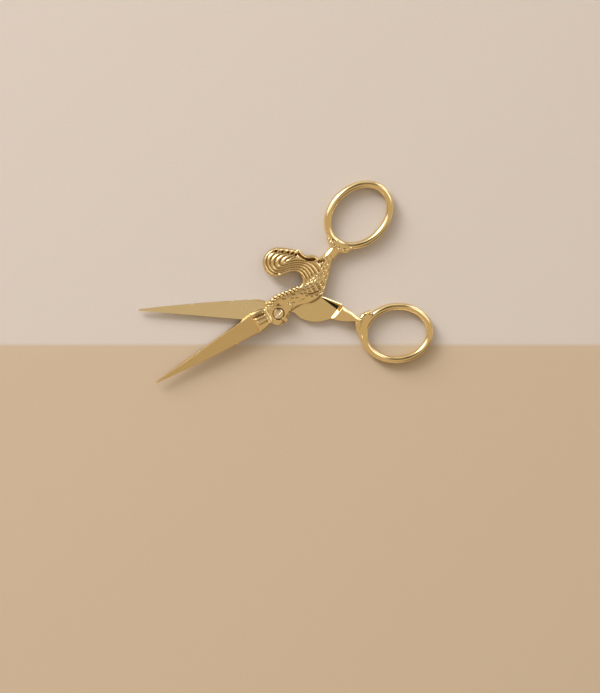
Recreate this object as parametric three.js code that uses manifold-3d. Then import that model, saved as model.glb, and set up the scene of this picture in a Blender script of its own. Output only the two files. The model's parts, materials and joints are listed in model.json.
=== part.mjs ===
// Embroidery scissors, gold plated, with a cast bird along the front half.
// Millimetres, +Z up. The scissors lie on their back on a table at z = 0, the bird facing up.
// The pivot axis is the Z axis, the blades point along -X and the finger rings lie towards +X.
// Each half is drawn closed, with its tip on the -X axis, and is then turned open about the pivot.
import * as THREE from 'three';
import { mergeVertices } from 'three/addons/utils/BufferGeometryUtils.js';
import Module from 'manifold-3d';

const wasm = await Module();
wasm.setup();

// Driving dimensions of the pair, in millimetres and degrees
const OPENING_ANGLE = 30.77; // between the two blades as they lie
const LAP_THICKNESS = 1.75; // each half where the two lie on each other
const LAP_GAP = 0.1; // running clearance between the two halves

// Blades
const BLADE_LENGTH = 52; // pivot axis to tip
const BLADE_HEEL = 9.6; // pivot axis to the collar
const BLADE_RISE = 4.9; // upper edge above the tip line at the heel
const BLADE_DROP = 2.85; // lower edge below the tip line at the heel
const BLADE_HEEL_THICKNESS = 1.35;
const BLADE_TIP_THICKNESS = 0.55;
const BLADE_TIP_WIDTH = 0.5;
const SPINE_BULGE = 0.4; // the spine bows out by this much at mid length
const EDGE_BEVEL = 0.45; // width of the ground cutting bevel
const EDGE_LAND = 0.12; // height of the blunt strip at the cutting edge
const BLADE_ROOT = 1.5; // length of the blade inside the collar
const SPINE_CHAMFER = 0.5;

// Fluted collar between blade and head
const COLLAR_END = 3.7; // pivot axis to the bead behind the collar
const COLLAR_TOP = 4.1; // upper edge over the tip line at the bead
const COLLAR_BOTTOM = 1.9; // lower edge under the tip line at the bead
const COLLAR_SWELL = 0.35; // the long edges bow out by this much
const COLLAR_SLOPE = 0.5; // length of the sloping wall that rises from the blade
const COLLAR_EDGE = 1.15; // height of the collar's long edges over the lap face
const COLLAR_FLUTES = 4;
const FLUTE_RADIUS = 0.62;
const FLUTE_DEPTH = 0.4;
const FLUTE_SPREAD = 1.35; // centre to centre, across the collar
const FLUTE_MIDDLE = 1.85; // middle of the flutes over the tip line
const BEAD_RADIUS = 0.62;

// Pivot
const HEAD_RADIUS = 4.4; // the bird's head, round the screw
const HEAD_ROUNDING = 0.7;
const HEAD_SHOULDER = 0.3; // the rounding's middle, as a share of it
const HUB_RADIUS = 3.9; // the same boss on the back half
const HUB_ROUNDING = 0.4;
const SCREW_HEAD_DIAMETER = 3.9;
const SCREW_HEAD_HEIGHT = 0.75;
const SCREW_HEAD_CROWN = 0.12;
const SCREW_SHANK_DIAMETER = 2.4;
const SLOT_WIDTH = 0.5;
const SLOT_DEPTH = 0.4;
const SLOT_ANGLE = 34; // of the slot to the +X axis
const BORE_CLEARANCE = 0.1; // round the screw's shank
const COUNTERBORE_CLEARANCE = 0.3; // round the screw's head
const SEAT_CLEARANCE = 0.1; // under the screw's head

// Bird: heights over the front half's lap face
const BODY_EDGE = 1.0; // where the rounded flank begins
const BODY_CROWN = 2.05;
const TAIL_EDGE = 0.95;
const TAIL_CROWN = 1.6;
const PLUME_RIBS = 5; // raised feathers that run up the tail and turn back at its tip
const RIB_WIDTH = 1.15;
const RIB_HEIGHT = 0.45;
const RIB_POINTS = 5;
const CREST_RADIUS = 0.82; // twisted crest along the neck
const CREST_LOBE = 0.3; // how far its two strands stand out, as a share of the radius
const CREST_TURNS = 5;
const END_TAPER = 0.2; // ribs and crest start and end this thin, as a share
const TAPER_RATE = 5; // and this quickly come to their full size
const FEATHER_TIP_RADIUS = 1.05; // round ends of the feathers along the plume's slanting edge
const WATTLE_RADIUS = 1.15;

// Finger rings and shanks
const RING_HOLE_LONG = 23.7;
const RING_HOLE_SHORT = 17.8;
const RING_WIRE = 2.9; // width of the ring's wire in plan
const RING_HEIGHT = 3;
const FRONT_RING_X = 44.96; // middle of the hole
const FRONT_RING_Y = 17.29;
const FRONT_RING_AXIS = 10.4; // turn of the long diameter
const BACK_RING_X = 47.7;
const BACK_RING_Y = -6.66;
const BACK_RING_AXIS = 2.7;
const SHANK_LOW = 0.3; // underside of the shanks over the table
const SHANK_HIGH = 3.35;
const WEB_HIGH = 2.6; // top of the flange beside the ring
const FRONT_FACET = 1.3; // width of the sloping flat along a shank's upper edge
const BACK_FACET = 0.95;
const FACET_SLOPE = 0.85;
const WAIST_SHARE = 0.82; // place of a shank's waist between the figure and its flange
const FRONT_PINCH = 1.1; // the front shank's lower edge is drawn in by this much at the waist
const BACK_PINCH_UPPER = 1.5;
const BACK_PINCH_LOWER = 1.9;
const FLANGE_NEAR = 10.8; // a flange begins between these angles from the ring's long axis
const FLANGE_FAR = 34;
const FLANGE_SPREAD = 7; // degrees that it spreads to each side in each of its two stretches
const FRONT_FLANGE = 1.6; // how far a flange first stands out from the ring
const BACK_FLANGE = 2.4;
const FLANGE_MIDDLE = 0.65; // share of that after its first stretch
const FLANGE_DEPTH = 0.9; // its end lies this deep in the wire
const KNUCKLE_RADIUS = 0.7; // small beads on the flanges, as high as the ring
const KNUCKLE_STEP = 6; // degrees from bead to bead
const KNUCKLE_FALL = 0.6; // each bead lies this much closer to the ring than the one before
const FRONT_KNUCKLES = 3; // on the front flange's near side
const BACK_KNUCKLES = 2; // on the back flange's far side

// Leaf-shaped lap plate of the back half
const LEAF_EDGE = 1.0; // height of its upright edge, under the lap face
const LEAF_RIM = 0.36; // width of the rim along its far edge
const LEAF_HOLLOW_START = 0.5; // width of the hollow beside the rim, where it starts
const LEAF_HOLLOW_END = 2.6; // and where it meets the shank
const LEAF_HOLLOW_DEPTH = 0.75;
const LEAF_HOLLOW_SHAPE = [[0, 1], [0.3, 0.58], [0.65, 0.2], [1.1, -0.06]]; // shares across, and of the depth
const LEAF_HOLLOW_RUN = [0.1, 1.03]; // shares of the leaf's length, to just past its end
const LEAF_BREAK = 0.05; // depth of the hollow where it starts, and run of its wall at the rim

// Fineness of the skins
const DOME_POINTS = 7;
const WIRE_POINTS = 10;
const BALL_ROWS = 6;
const CAP_ROWS = 3;
const ROUND_POINTS = 32;
const RING_STEPS = 40;
const BLADE_STEPS = 12;
const COLLAR_STEPS = 8;
const SHANK_STEPS = 28;
const LEAF_STEPS = 20;
const BODY_STEPS = 24;
const TAIL_STEPS = 27;
const FEATHER_STEPS = 26;
const CREST_STEPS = 60;
const MERGE_TOLERANCE = 1e-4;

// Heights that follow from the stack
const BACK_FACE = LAP_THICKNESS;
const FRONT_FACE = BACK_FACE + LAP_GAP;
const FRONT_TOP = FRONT_FACE + LAP_THICKNESS;
const SCREW_SEAT = FRONT_TOP - SCREW_HEAD_HEIGHT;

// Rungs across each form: [upper x, upper y, lower x, lower y], from the blade end on.
// The figure's outline runs smoothly through their ends.
const BODY_RUNGS = [
  [-3.2, 4.1, -3.0, -1.9],
  [0.0, 5.4, 1.5, -3.2],
  [4.0, 5.7, 5.2, -1.9],
  [9.0, 5.0, 8.6, -1.9],
  [13.0, 4.8, 12.8, -3.1],
  [16.5, 5.4, 17.0, -3.0],
  [20.3, 7.2, 19.7, -1.2],
  [23.4, 10.2, 23.0, 2.3],
  [26.2, 10.6, 26.2, 5.9],
];
const BODY_SWELL = [0.8, 0.87, 0.92, 0.97, 1, 1, 0.95, 0.82, 0.7]; // share of the crown at each rung
const TAIL_RUNGS = [
  [14.6, 4.5, 23.2, 5.2],
  [14.5, 7.2, 23.5, 9.4],
  [14.2, 9.2, 22.5, 12.3],
  [13.0, 10.8, 19.6, 13.9],
  [10.5, 11.6, 18.0, 16.6],
  [7.6, 12.0, 14.5, 19.8],
  [5.4, 12.8, 10.5, 22.2],
  [4.0, 14.2, 7.0, 22.0],
  [3.3, 16.0, 4.4, 20.4],
  [3.2, 17.0, 3.4, 18.4],
];
const FRONT_SHANK_RUNGS = [
  [22.6, 11.0, 24.9, 4.9],
  [23.8, 10.6, 25.6, 5.2],
  [26.4, 10.9, 27.2, 6.8],
];
const LEAF_RUNGS = [
  [2.0, 3.6, 2.0, -2.4],
  [6.0, 5.3, 5.6, 0.6],
  [10.0, 6.5, 8.8, -1.5],
  [13.8, 7.0, 12.0, -2.6],
  [17.3, 6.7, 15.2, -2.9],
  [21.0, 5.5, 18.4, -2.3],
  [25.0, 4.05, 22.0, -1.3],
];
// The first two rungs are the foot and the top of the wall that rises from the leaf plate
const BACK_SHANK_RUNGS = [
  [24.5, 3.75, 20.75, -1.4],
  [25.3, 3.35, 21.5, -1.6],
  [26.6, 2.4, 23.2, -2.15],
  [29.2, 1.05, 26.6, -2.5],
];

// The first and the last feather of the tail, from the body to the plume's end
const OUTER_FEATHER = [
  [15.7, 4.6], [15.4, 8.0], [14.3, 10.6], [11.5, 12.4], [7.8, 13.1],
  [5.4, 14.6], [4.4, 17.0], [5.2, 19.4], [7.3, 20.9], [10.9, 21.5],
];
const INNER_FEATHER = [
  [21.6, 4.6], [21.2, 8.4], [19.6, 11.2], [17.6, 13.0], [16.0, 14.1],
  [14.6, 14.8], [13.8, 15.4], [14.4, 15.8], [15.6, 16.1], [17.2, 16.5],
];
const CREST_LINE = [
  [-2.6, 4.2], [-1.0, 5.0], [1.0, 5.7], [3.6, 5.8], [6.6, 5.3], [10.0, 4.7], [12.4, 4.7], [14.0, 6.0],
];
const WATTLE_PLACE = [1.35, -3.55];

const radians = THREE.MathUtils.degToRad;
const lerp = THREE.MathUtils.lerp;

// Number row at t along a list of number rows, on a smooth curve through all of them
function along(rows, t) {
  const place = t * (rows.length - 1);
  const i = Math.min(Math.floor(place), rows.length - 2);
  const f = place - i;
  const row = (k) => rows[THREE.MathUtils.clamp(k, 0, rows.length - 1)];
  return rows[i].map((_, c) => {
    const [p0, p1, p2, p3] = [row(i - 1)[c], row(i)[c], row(i + 1)[c], row(i + 2)[c]];
    const bend = (2 * p0 - 5 * p1 + 4 * p2 - p3) * f + (3 * (p1 - p2) + p3 - p0) * f * f;
    return p1 + 0.5 * f * (p2 - p0 + bend);
  });
}

// Closed skin over a row of sections with equally many points.
// A looped row joins its last section to its first, and any other row has capped ends.
function skin(sections, looped = false) {
  const count = sections[0].length;
  const points = sections.flat();
  const faces = [];
  const joins = looped ? sections.length : sections.length - 1;
  for (let i = 0; i < joins; i++) {
    const here = i * count;
    const next = ((i + 1) % sections.length) * count;
    for (let j = 0; j < count; j++) {
      const k = (j + 1) % count;
      faces.push([here + j, here + k, next + k], [here + j, next + k, next + j]);
    }
  }
  if (!looped) {
    for (const first of [0, (sections.length - 1) * count]) {
      const middle = points.length;
      const sum = new THREE.Vector3();
      points.slice(first, first + count).forEach((p) => sum.add(p));
      points.push(sum.divideScalar(count));
      for (let j = 0; j < count; j++) {
        const pair = [first + j, first + ((j + 1) % count)];
        faces.push(first === 0 ? [middle, pair[1], pair[0]] : [middle, pair[0], pair[1]]);
      }
    }
  }
  const volume = faces.reduce((sum, [a, b, c]) => (
    sum + points[a].dot(new THREE.Vector3().crossVectors(points[b], points[c]))), 0);
  const outward = volume > 0 ? faces : faces.map(([a, b, c]) => [a, c, b]);
  const geometry = new THREE.BufferGeometry().setFromPoints(points);
  geometry.setIndex(outward.flat());
  return geometry;
}

function toSolid(geometry) {
  geometry.deleteAttribute('normal');
  geometry.deleteAttribute('uv');
  const merged = mergeVertices(geometry, MERGE_TOLERANCE);
  return new wasm.Manifold(new wasm.Mesh({
    numProp: 3,
    vertProperties: Float32Array.from(merged.attributes.position.array),
    triVerts: Uint32Array.from(merged.index.array),
  }));
}

function toMesh(name, solid, material) {
  const { vertProperties, triVerts } = solid.getMesh();
  const geometry = new THREE.BufferGeometry();
  geometry.setAttribute('position', new THREE.BufferAttribute(vertProperties, 3));
  geometry.setIndex(new THREE.BufferAttribute(triVerts, 1));
  geometry.computeVertexNormals();
  const mesh = new THREE.Mesh(geometry, material);
  mesh.name = name;
  return mesh;
}

const join = (solids) => solids.reduce((sum, solid) => sum.add(solid));

// Steps from 0 to 1
const steps = (count) => Array.from({ length: count + 1 }, (_, i) => i / count);

// Form between rungs with a flat floor, upright edges and a crowned face.
// Heights are functions of the place along the rungs.
function crownedForm(rungs, count, { floor, edge, crown }) {
  const arch = steps(DOME_POINTS - 1).map((s) => [
    (1 - Math.cos(Math.PI * s)) / 2,
    Math.sqrt(Math.sin(Math.PI * s)),
  ]);
  return toSolid(skin(steps(count).map((t) => {
    const [ux, uy, lx, ly] = along(rungs, t);
    const at = (v, z) => new THREE.Vector3(lerp(ux, lx, v), lerp(uy, ly, v), z);
    return [
      at(0, floor(t)),
      ...arch.map(([v, rise]) => at(v, lerp(edge(t), crown(t), rise))),
      at(1, floor(t)),
    ];
  })));
}

// Form between rungs with an oval section between a low and a high line,
// and with a sloping flat of the given width along its upper edge
function ovalForm(rungs, count, { low, high, facet }) {
  return toSolid(skin(steps(count).map((t) => {
    const [ux, uy, lx, ly] = along(rungs, t);
    const width = Math.hypot(ux - lx, uy - ly);
    const middle = (low(t) + high(t)) / 2;
    const half = (high(t) - low(t)) / 2;
    return steps(WIRE_POINTS).slice(1).map((s) => {
      const v = (1 - Math.cos(2 * Math.PI * s)) / 2;
      const swell = Math.sin(2 * Math.PI * s);
      const round = middle + half * Math.sign(swell) * Math.sqrt(Math.abs(swell));
      const flat = high(t) - FACET_SLOPE * Math.max(0, facet(t) - v * width);
      return new THREE.Vector3(lerp(ux, lx, v), lerp(uy, ly, v), Math.min(round, Math.max(flat, middle)));
    });
  })));
}

// Skin of sections set square to a line of points. section gives [across, z] pairs for the place
// t along the line and the taper there, which draws the form in towards both ends.
function alongLine(line, count, section) {
  const middle = steps(count).map((t) => new THREE.Vector2(...along(line, t)));
  return toSolid(skin(middle.map((point, i) => {
    const ahead = middle[Math.min(i + 1, count)];
    const behind = middle[Math.max(i - 1, 0)];
    const side = ahead.clone().sub(behind).normalize().rotateAround(new THREE.Vector2(), Math.PI / 2);
    const taper = Math.sqrt(Math.min(1, END_TAPER + TAPER_RATE * Math.sin(Math.PI * i / count)));
    return section(i / count, taper).map(([across, z]) => (
      new THREE.Vector3(point.x + side.x * across, point.y + side.y * across, z)));
  })));
}

// Half-round rib along a line
function ribForm(line, { width, low, high }) {
  return alongLine(line, FEATHER_STEPS, (t, taper) => steps(RIB_POINTS).map((s) => [
    -Math.cos(Math.PI * s) * taper * width / 2,
    low + (high - low) * Math.sin(Math.PI * s) * taper,
  ]));
}

// Twisted crest: a two-lobed section that turns as it runs along the line
function twistedForm(line, z) {
  return alongLine(line, CREST_STEPS, (t, taper) => steps(WIRE_POINTS).slice(1).map((s) => {
    const turn = 2 * Math.PI * s;
    const twist = 2 * Math.PI * CREST_TURNS * t;
    const lobe = CREST_LOBE * (Math.cos(2 * (turn - twist)) - 1) / 2;
    const radius = CREST_RADIUS * taper * (1 + lobe);
    return [radius * Math.cos(turn), z + radius * Math.sin(turn)];
  }));
}

// Solid of revolution about Z from a profile that starts and ends on the axis
const revolved = (profile, segments) => toSolid(new THREE.LatheGeometry(
  profile.map(([radius, z]) => new THREE.Vector2(radius, z)),
  segments,
).rotateX(Math.PI / 2));

// Round bead of the given radius in plan and half height
const ball = (radius, half, [x, y, z]) => toSolid(
  new THREE.SphereGeometry(radius, WIRE_POINTS, BALL_ROWS)
    .rotateX(Math.PI / 2).scale(1, 1, half / radius).translate(x, y, z));

// One blade. edgeSide is +1 where the cutting edge is the upper edge, and outward is +1
// where the blade's outer face looks up from its lap face.
function blade(face, edgeSide, outward) {
  const heelReach = BLADE_LENGTH - BLADE_HEEL;
  return toSolid(skin(steps(BLADE_STEPS).map((t) => {
    const reach = t * (heelReach + BLADE_ROOT);
    const s = Math.min(reach / heelReach, 1);
    const bulge = 4 * SPINE_BULGE * s * (1 - s);
    const tipHalf = BLADE_TIP_WIDTH / 2 * (1 - s);
    const upper = BLADE_RISE * s + tipHalf + (edgeSide > 0 ? 0 : bulge);
    const lower = -BLADE_DROP * s - tipHalf - (edgeSide > 0 ? bulge : 0);
    const [cut, spine] = edgeSide > 0 ? [upper, lower] : [lower, upper];
    const thickness = lerp(BLADE_TIP_THICKNESS, BLADE_HEEL_THICKNESS, s);
    const inset = Math.min(1, (upper - lower) / (4 * (EDGE_BEVEL + SPINE_CHAMFER)));
    const x = reach - BLADE_LENGTH;
    const at = (y, height) => new THREE.Vector3(x, y, face + outward * height);
    return [
      at(cut, 0),
      at(cut, EDGE_LAND),
      at(cut - edgeSide * EDGE_BEVEL * inset, thickness),
      at(spine + edgeSide * SPINE_CHAMFER * inset, thickness),
      at(spine, thickness / 2),
      at(spine, 0),
    ];
  })));
}

// Rungs of the collar, which narrows from the blade's heel to the bead
function collarRungs() {
  return steps(3).map((s) => {
    const swell = 4 * COLLAR_SWELL * s * (1 - s);
    const x = -lerp(BLADE_HEEL, COLLAR_END, s);
    const top = lerp(BLADE_RISE, COLLAR_TOP, s) + swell;
    return [x, top, x, -lerp(BLADE_DROP, COLLAR_BOTTOM, s) - swell];
  });
}

// Collar that grips the blade's heel, with lengthwise flutes in its crowned face
function collar(face, outward) {
  const slopeShare = COLLAR_SLOPE / (BLADE_HEEL - COLLAR_END);
  const rise = (t) => Math.min(1, t / slopeShare);
  const full = LAP_THICKNESS;
  const block = crownedForm(collarRungs(), COLLAR_STEPS, {
    floor: () => face,
    edge: (t) => face + outward * lerp(BLADE_HEEL_THICKNESS / 2, COLLAR_EDGE, rise(t)),
    crown: (t) => face + outward * lerp(BLADE_HEEL_THICKNESS, full, rise(t)),
  });
  const length = BLADE_HEEL - COLLAR_END - 2 * COLLAR_SLOPE - 2 * BEAD_RADIUS;
  const middleX = -(BLADE_HEEL + COLLAR_END + BEAD_RADIUS) / 2;
  const flutes = Array.from({ length: COLLAR_FLUTES }, (_, i) => {
    const y = FLUTE_MIDDLE + (i - (COLLAR_FLUTES - 1) / 2) * FLUTE_SPREAD;
    const flute = new THREE.CapsuleGeometry(FLUTE_RADIUS, length, CAP_ROWS, WIRE_POINTS);
    flute.rotateZ(Math.PI / 2);
    flute.translate(middleX, y, face + outward * (full + FLUTE_RADIUS - FLUTE_DEPTH));
    return toSolid(flute);
  });
  return flutes.reduce((sum, flute) => sum.subtract(flute), block);
}

// Round bead across the end of the collar, at half its height
function collarBead(face, outward) {
  const length = COLLAR_TOP + COLLAR_BOTTOM - 2 * BEAD_RADIUS;
  const bead = new THREE.CapsuleGeometry(BEAD_RADIUS, length, CAP_ROWS, WIRE_POINTS);
  const middle = (COLLAR_TOP - COLLAR_BOTTOM) / 2;
  bead.translate(-COLLAR_END, middle, face + outward * (LAP_THICKNESS - BEAD_RADIUS));
  return toSolid(bead);
}

// Point on an oval of the ring that stands out from its hole by the given amount
function ringPoint({ centre, axis }, angle, out) {
  return new THREE.Vector2(
    (RING_HOLE_LONG / 2 + out) * Math.cos(angle),
    (RING_HOLE_SHORT / 2 + out) * Math.sin(angle),
  ).rotateAround(new THREE.Vector2(), radians(axis)).add(new THREE.Vector2(...centre));
}

function fingerRing(ring) {
  const around = steps(RING_STEPS).slice(1).map((s) => 2 * Math.PI * s);
  return toSolid(skin(around.map((angle) => (
    steps(WIRE_POINTS).slice(1).map((s) => {
      const out = RING_WIRE / 2 * (1 + Math.cos(2 * Math.PI * s));
      const { x, y } = ringPoint(ring, angle, out);
      return new THREE.Vector3(x, y, RING_HEIGHT / 2 * (1 + Math.sin(2 * Math.PI * s)));
    }))), true));
}

// Rungs of a shank with its waist and its flange, which ends inside the ring's wire.
// turn is +1 where the flange runs on round the ring towards larger angles.
function flangedRungs(rungs, ring, turn) {
  const flange = [ring.flange, ring.flange * FLANGE_MIDDLE, -FLANGE_DEPTH].map((out, i) => {
    const ends = [FLANGE_NEAR - i * FLANGE_SPREAD, FLANGE_FAR + i * FLANGE_SPREAD].map((angle) => (
      ringPoint(ring, Math.PI + turn * radians(angle), RING_WIRE + out)));
    const [upper, lower] = turn > 0 ? ends : ends.reverse();
    return [upper.x, upper.y, lower.x, lower.y];
  });
  const last = rungs[rungs.length - 1];
  const [ux, uy, lx, ly] = last.map((value, c) => lerp(value, flange[0][c], WAIST_SHARE));
  const across = new THREE.Vector2(ux - lx, uy - ly).normalize();
  const [upperPinch, lowerPinch] = ring.pinch;
  const waist = [
    ux - across.x * upperPinch, uy - across.y * upperPinch,
    lx + across.x * lowerPinch, ly + across.y * lowerPinch,
  ];
  return [...rungs, waist, ...flange];
}

// Row of beads on the flange from the given angle on, each closer to the ring than the one before
function knuckles(ring, turn, count, start, step) {
  return Array.from({ length: count }, (_, i) => {
    const out = RING_WIRE + ring.flange - KNUCKLE_RADIUS - i * KNUCKLE_FALL;
    const { x, y } = ringPoint(ring, Math.PI + turn * radians(start + i * step), out);
    return ball(KNUCKLE_RADIUS, RING_HEIGHT / 2, [x, y, RING_HEIGHT / 2]);
  });
}

// Height or width along a form, straight from one rung to the next
function straight(values) {
  return (t) => {
    const place = t * (values.length - 1);
    const i = Math.min(Math.floor(place), values.length - 2);
    return lerp(values[i], values[i + 1], place - i);
  };
}

function shank(rungs, ring, turn, startLow, startHigh) {
  const flanged = flangedRungs(rungs, ring, turn);
  const profile = (start, full, web) => straight([
    start, ...rungs.map(() => full), ...Array(flanged.length - rungs.length - 1).fill(web),
  ]);
  return ovalForm(flanged, SHANK_STEPS, {
    low: profile(startLow, SHANK_LOW, SHANK_LOW),
    high: profile(startHigh, SHANK_HIGH, WEB_HIGH),
    facet: profile(0, ring.facet, 0),
  });
}

// Bird on the front half
function bird() {
  const flat = (height) => () => FRONT_FACE + height;
  const swell = BODY_SWELL.map((share) => [share]);
  const body = crownedForm(BODY_RUNGS, BODY_STEPS, {
    floor: flat(0),
    edge: (t) => FRONT_FACE + BODY_EDGE * along(swell, t)[0],
    crown: (t) => FRONT_FACE + BODY_CROWN * along(swell, t)[0],
  });
  const head = revolved([
    [0, FRONT_FACE],
    [HEAD_RADIUS, FRONT_FACE],
    [HEAD_RADIUS, FRONT_TOP - HEAD_ROUNDING],
    [HEAD_RADIUS - HEAD_SHOULDER * HEAD_ROUNDING, FRONT_TOP - HEAD_SHOULDER * HEAD_ROUNDING],
    [HEAD_RADIUS - HEAD_ROUNDING, FRONT_TOP],
    [0, FRONT_TOP],
  ], ROUND_POINTS);
  const wattle = ball(WATTLE_RADIUS, LAP_THICKNESS / 2, [...WATTLE_PLACE, FRONT_FACE + LAP_THICKNESS / 2]);
  const tail = crownedForm(TAIL_RUNGS, TAIL_STEPS, {
    floor: flat(0), edge: flat(TAIL_EDGE), crown: flat(TAIL_CROWN),
  });
  const feathers = steps(PLUME_RIBS - 1).map((s) => {
    const line = OUTER_FEATHER.map(([x, y], i) => [
      lerp(x, INNER_FEATHER[i][0], s),
      lerp(y, INNER_FEATHER[i][1], s),
    ]);
    const tipHalf = TAIL_CROWN + RIB_HEIGHT - TAIL_EDGE;
    const tip = ball(FEATHER_TIP_RADIUS, tipHalf, [...line[line.length - 1], FRONT_FACE + TAIL_EDGE]);
    return ribForm(line, {
      width: RIB_WIDTH, low: FRONT_FACE + TAIL_EDGE, high: FRONT_FACE + TAIL_CROWN + RIB_HEIGHT,
    }).add(tip);
  });
  const crest = twistedForm(CREST_LINE, FRONT_TOP - CREST_RADIUS / 2);
  return join([body, head, wattle, tail, ...feathers, crest]);
}

function frontHalf() {
  const solid = join([
    blade(FRONT_FACE, 1, 1),
    collar(FRONT_FACE, 1),
    collarBead(FRONT_FACE, 1),
    bird(),
    shank(FRONT_SHANK_RUNGS, frontRing, 1, FRONT_FACE, FRONT_FACE + BODY_EDGE),
    fingerRing(frontRing),
    ...knuckles(frontRing, 1, FRONT_KNUCKLES, FLANGE_NEAR, -KNUCKLE_STEP),
  ]);
  const bore = SCREW_SHANK_DIAMETER / 2 + BORE_CLEARANCE;
  const counterbore = SCREW_HEAD_DIAMETER / 2 + COUNTERBORE_CLEARANCE;
  const above = FRONT_TOP + BODY_CROWN;
  return solid.subtract(revolved([
    [0, -LAP_THICKNESS],
    [bore, -LAP_THICKNESS],
    [bore, SCREW_SEAT - SEAT_CLEARANCE],
    [counterbore, SCREW_SEAT - SEAT_CLEARANCE],
    [counterbore, above],
    [0, above],
  ], ROUND_POINTS));
}

// Hollow that runs beside the leaf's rim, and widens and deepens towards the shank
function leafHollow() {
  const above = BACK_FACE + LEAF_HOLLOW_DEPTH;
  return toSolid(skin(steps(LEAF_STEPS).map((s) => {
    const t = lerp(...LEAF_HOLLOW_RUN, s);
    const [ux, uy, lx, ly] = along(LEAF_RUNGS, t);
    const width = Math.hypot(ux - lx, uy - ly);
    const at = (across, z) => new THREE.Vector3(
      lerp(ux, lx, across / width), lerp(uy, ly, across / width), z);
    const reach = lerp(LEAF_HOLLOW_START, LEAF_HOLLOW_END, t ** 4);
    const depth = lerp(LEAF_BREAK, LEAF_HOLLOW_DEPTH, t ** 3);
    const floor = LEAF_HOLLOW_SHAPE.map(([across, deep]) => (
      at(LEAF_RIM + LEAF_BREAK + reach * across, BACK_FACE - depth * deep)));
    const [last] = LEAF_HOLLOW_SHAPE[LEAF_HOLLOW_SHAPE.length - 1];
    return [at(LEAF_RIM, above), ...floor, at(LEAF_RIM + LEAF_BREAK + reach * last, above)];
  })));
}

// Leaf-shaped plate that the bird slides over, with a rim along its far edge
function leaf() {
  const under = steps(DOME_POINTS - 1).map((s) => [
    (1 + Math.cos(Math.PI * s)) / 2,
    Math.sqrt(Math.sin(Math.PI * s)),
  ]);
  return toSolid(skin(steps(LEAF_STEPS).map((t) => {
    const [ux, uy, lx, ly] = along(LEAF_RUNGS, t);
    const at = (v, z) => new THREE.Vector3(lerp(ux, lx, v), lerp(uy, ly, v), z);
    return [
      at(0, BACK_FACE),
      at(1, BACK_FACE),
      ...under.map(([v, rise]) => at(v, lerp(BACK_FACE - LEAF_EDGE, 0, rise))),
    ];
  }))).subtract(leafHollow());
}

function backHalf() {
  const hub = revolved([
    [0, 0],
    [HUB_RADIUS - HUB_ROUNDING, 0],
    [HUB_RADIUS, HUB_ROUNDING],
    [HUB_RADIUS, BACK_FACE],
    [0, BACK_FACE],
  ], ROUND_POINTS);
  const solid = join([
    blade(BACK_FACE, -1, -1),
    collar(BACK_FACE, -1),
    hub,
    leaf(),
    shank(BACK_SHANK_RUNGS, backRing, -1, SHANK_LOW, BACK_FACE - LAP_GAP),
    fingerRing(backRing),
    ...knuckles(backRing, -1, BACK_KNUCKLES, FLANGE_FAR, KNUCKLE_STEP),
  ]);
  const hole = SCREW_SHANK_DIAMETER / 2 + BORE_CLEARANCE;
  return solid.subtract(revolved([
    [0, -LAP_THICKNESS], [hole, -LAP_THICKNESS], [hole, FRONT_TOP], [0, FRONT_TOP],
  ], ROUND_POINTS));
}

function pivotScrew() {
  const radius = SCREW_HEAD_DIAMETER / 2;
  const solid = revolved([
    [0, 0],
    [SCREW_SHANK_DIAMETER / 2, 0],
    [SCREW_SHANK_DIAMETER / 2, SCREW_SEAT],
    [radius, SCREW_SEAT],
    [radius, FRONT_TOP - SCREW_HEAD_CROWN],
    [radius / 2, FRONT_TOP - SCREW_HEAD_CROWN / 4],
    [0, FRONT_TOP],
  ], ROUND_POINTS);
  const slot = new THREE.BoxGeometry(2 * SCREW_HEAD_DIAMETER, SLOT_WIDTH, 2 * SLOT_DEPTH);
  slot.rotateZ(radians(SLOT_ANGLE)).translate(0, 0, FRONT_TOP);
  return solid.subtract(toSolid(slot));
}

const frontRing = {
  centre: [FRONT_RING_X, FRONT_RING_Y],
  axis: FRONT_RING_AXIS,
  flange: FRONT_FLANGE,
  facet: FRONT_FACET,
  pinch: [0, FRONT_PINCH],
};
const backRing = {
  centre: [BACK_RING_X, BACK_RING_Y],
  axis: BACK_RING_AXIS,
  flange: BACK_FLANGE,
  facet: BACK_FACET,
  pinch: [BACK_PINCH_UPPER, BACK_PINCH_LOWER],
};
const castGold = new THREE.MeshStandardMaterial({ color: 0xd8ab55, roughness: 0.18, metalness: 1 });
const groundGold = new THREE.MeshStandardMaterial({ color: 0xc9a055, roughness: 0.3, metalness: 1 });
const screwGold = new THREE.MeshStandardMaterial({ color: 0xd9c08a, roughness: 0.22, metalness: 1 });

const front = new THREE.Group();
front.add(toMesh('front_half', frontHalf(), castGold));
front.rotation.z = radians(OPENING_ANGLE / 2);

const back = new THREE.Group();
back.add(toMesh('back_half', backHalf(), groundGold));
back.rotation.z = -radians(OPENING_ANGLE / 2);

const scissors = new THREE.Group();
scissors.add(front, back, toMesh('pivot_screw', pivotScrew(), screwGold));

export default scissors;
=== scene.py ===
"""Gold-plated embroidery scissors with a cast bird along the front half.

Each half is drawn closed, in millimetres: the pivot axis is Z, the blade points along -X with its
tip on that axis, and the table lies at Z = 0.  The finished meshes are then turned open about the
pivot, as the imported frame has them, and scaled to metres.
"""

from __future__ import annotations

import itertools
import json
import logging
import math
from dataclasses import dataclass, field, replace
from enum import Enum
from typing import Any, ClassVar, Iterable, Sequence

import bpy
import numpy as np
from mathutils import Matrix, Vector

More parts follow.
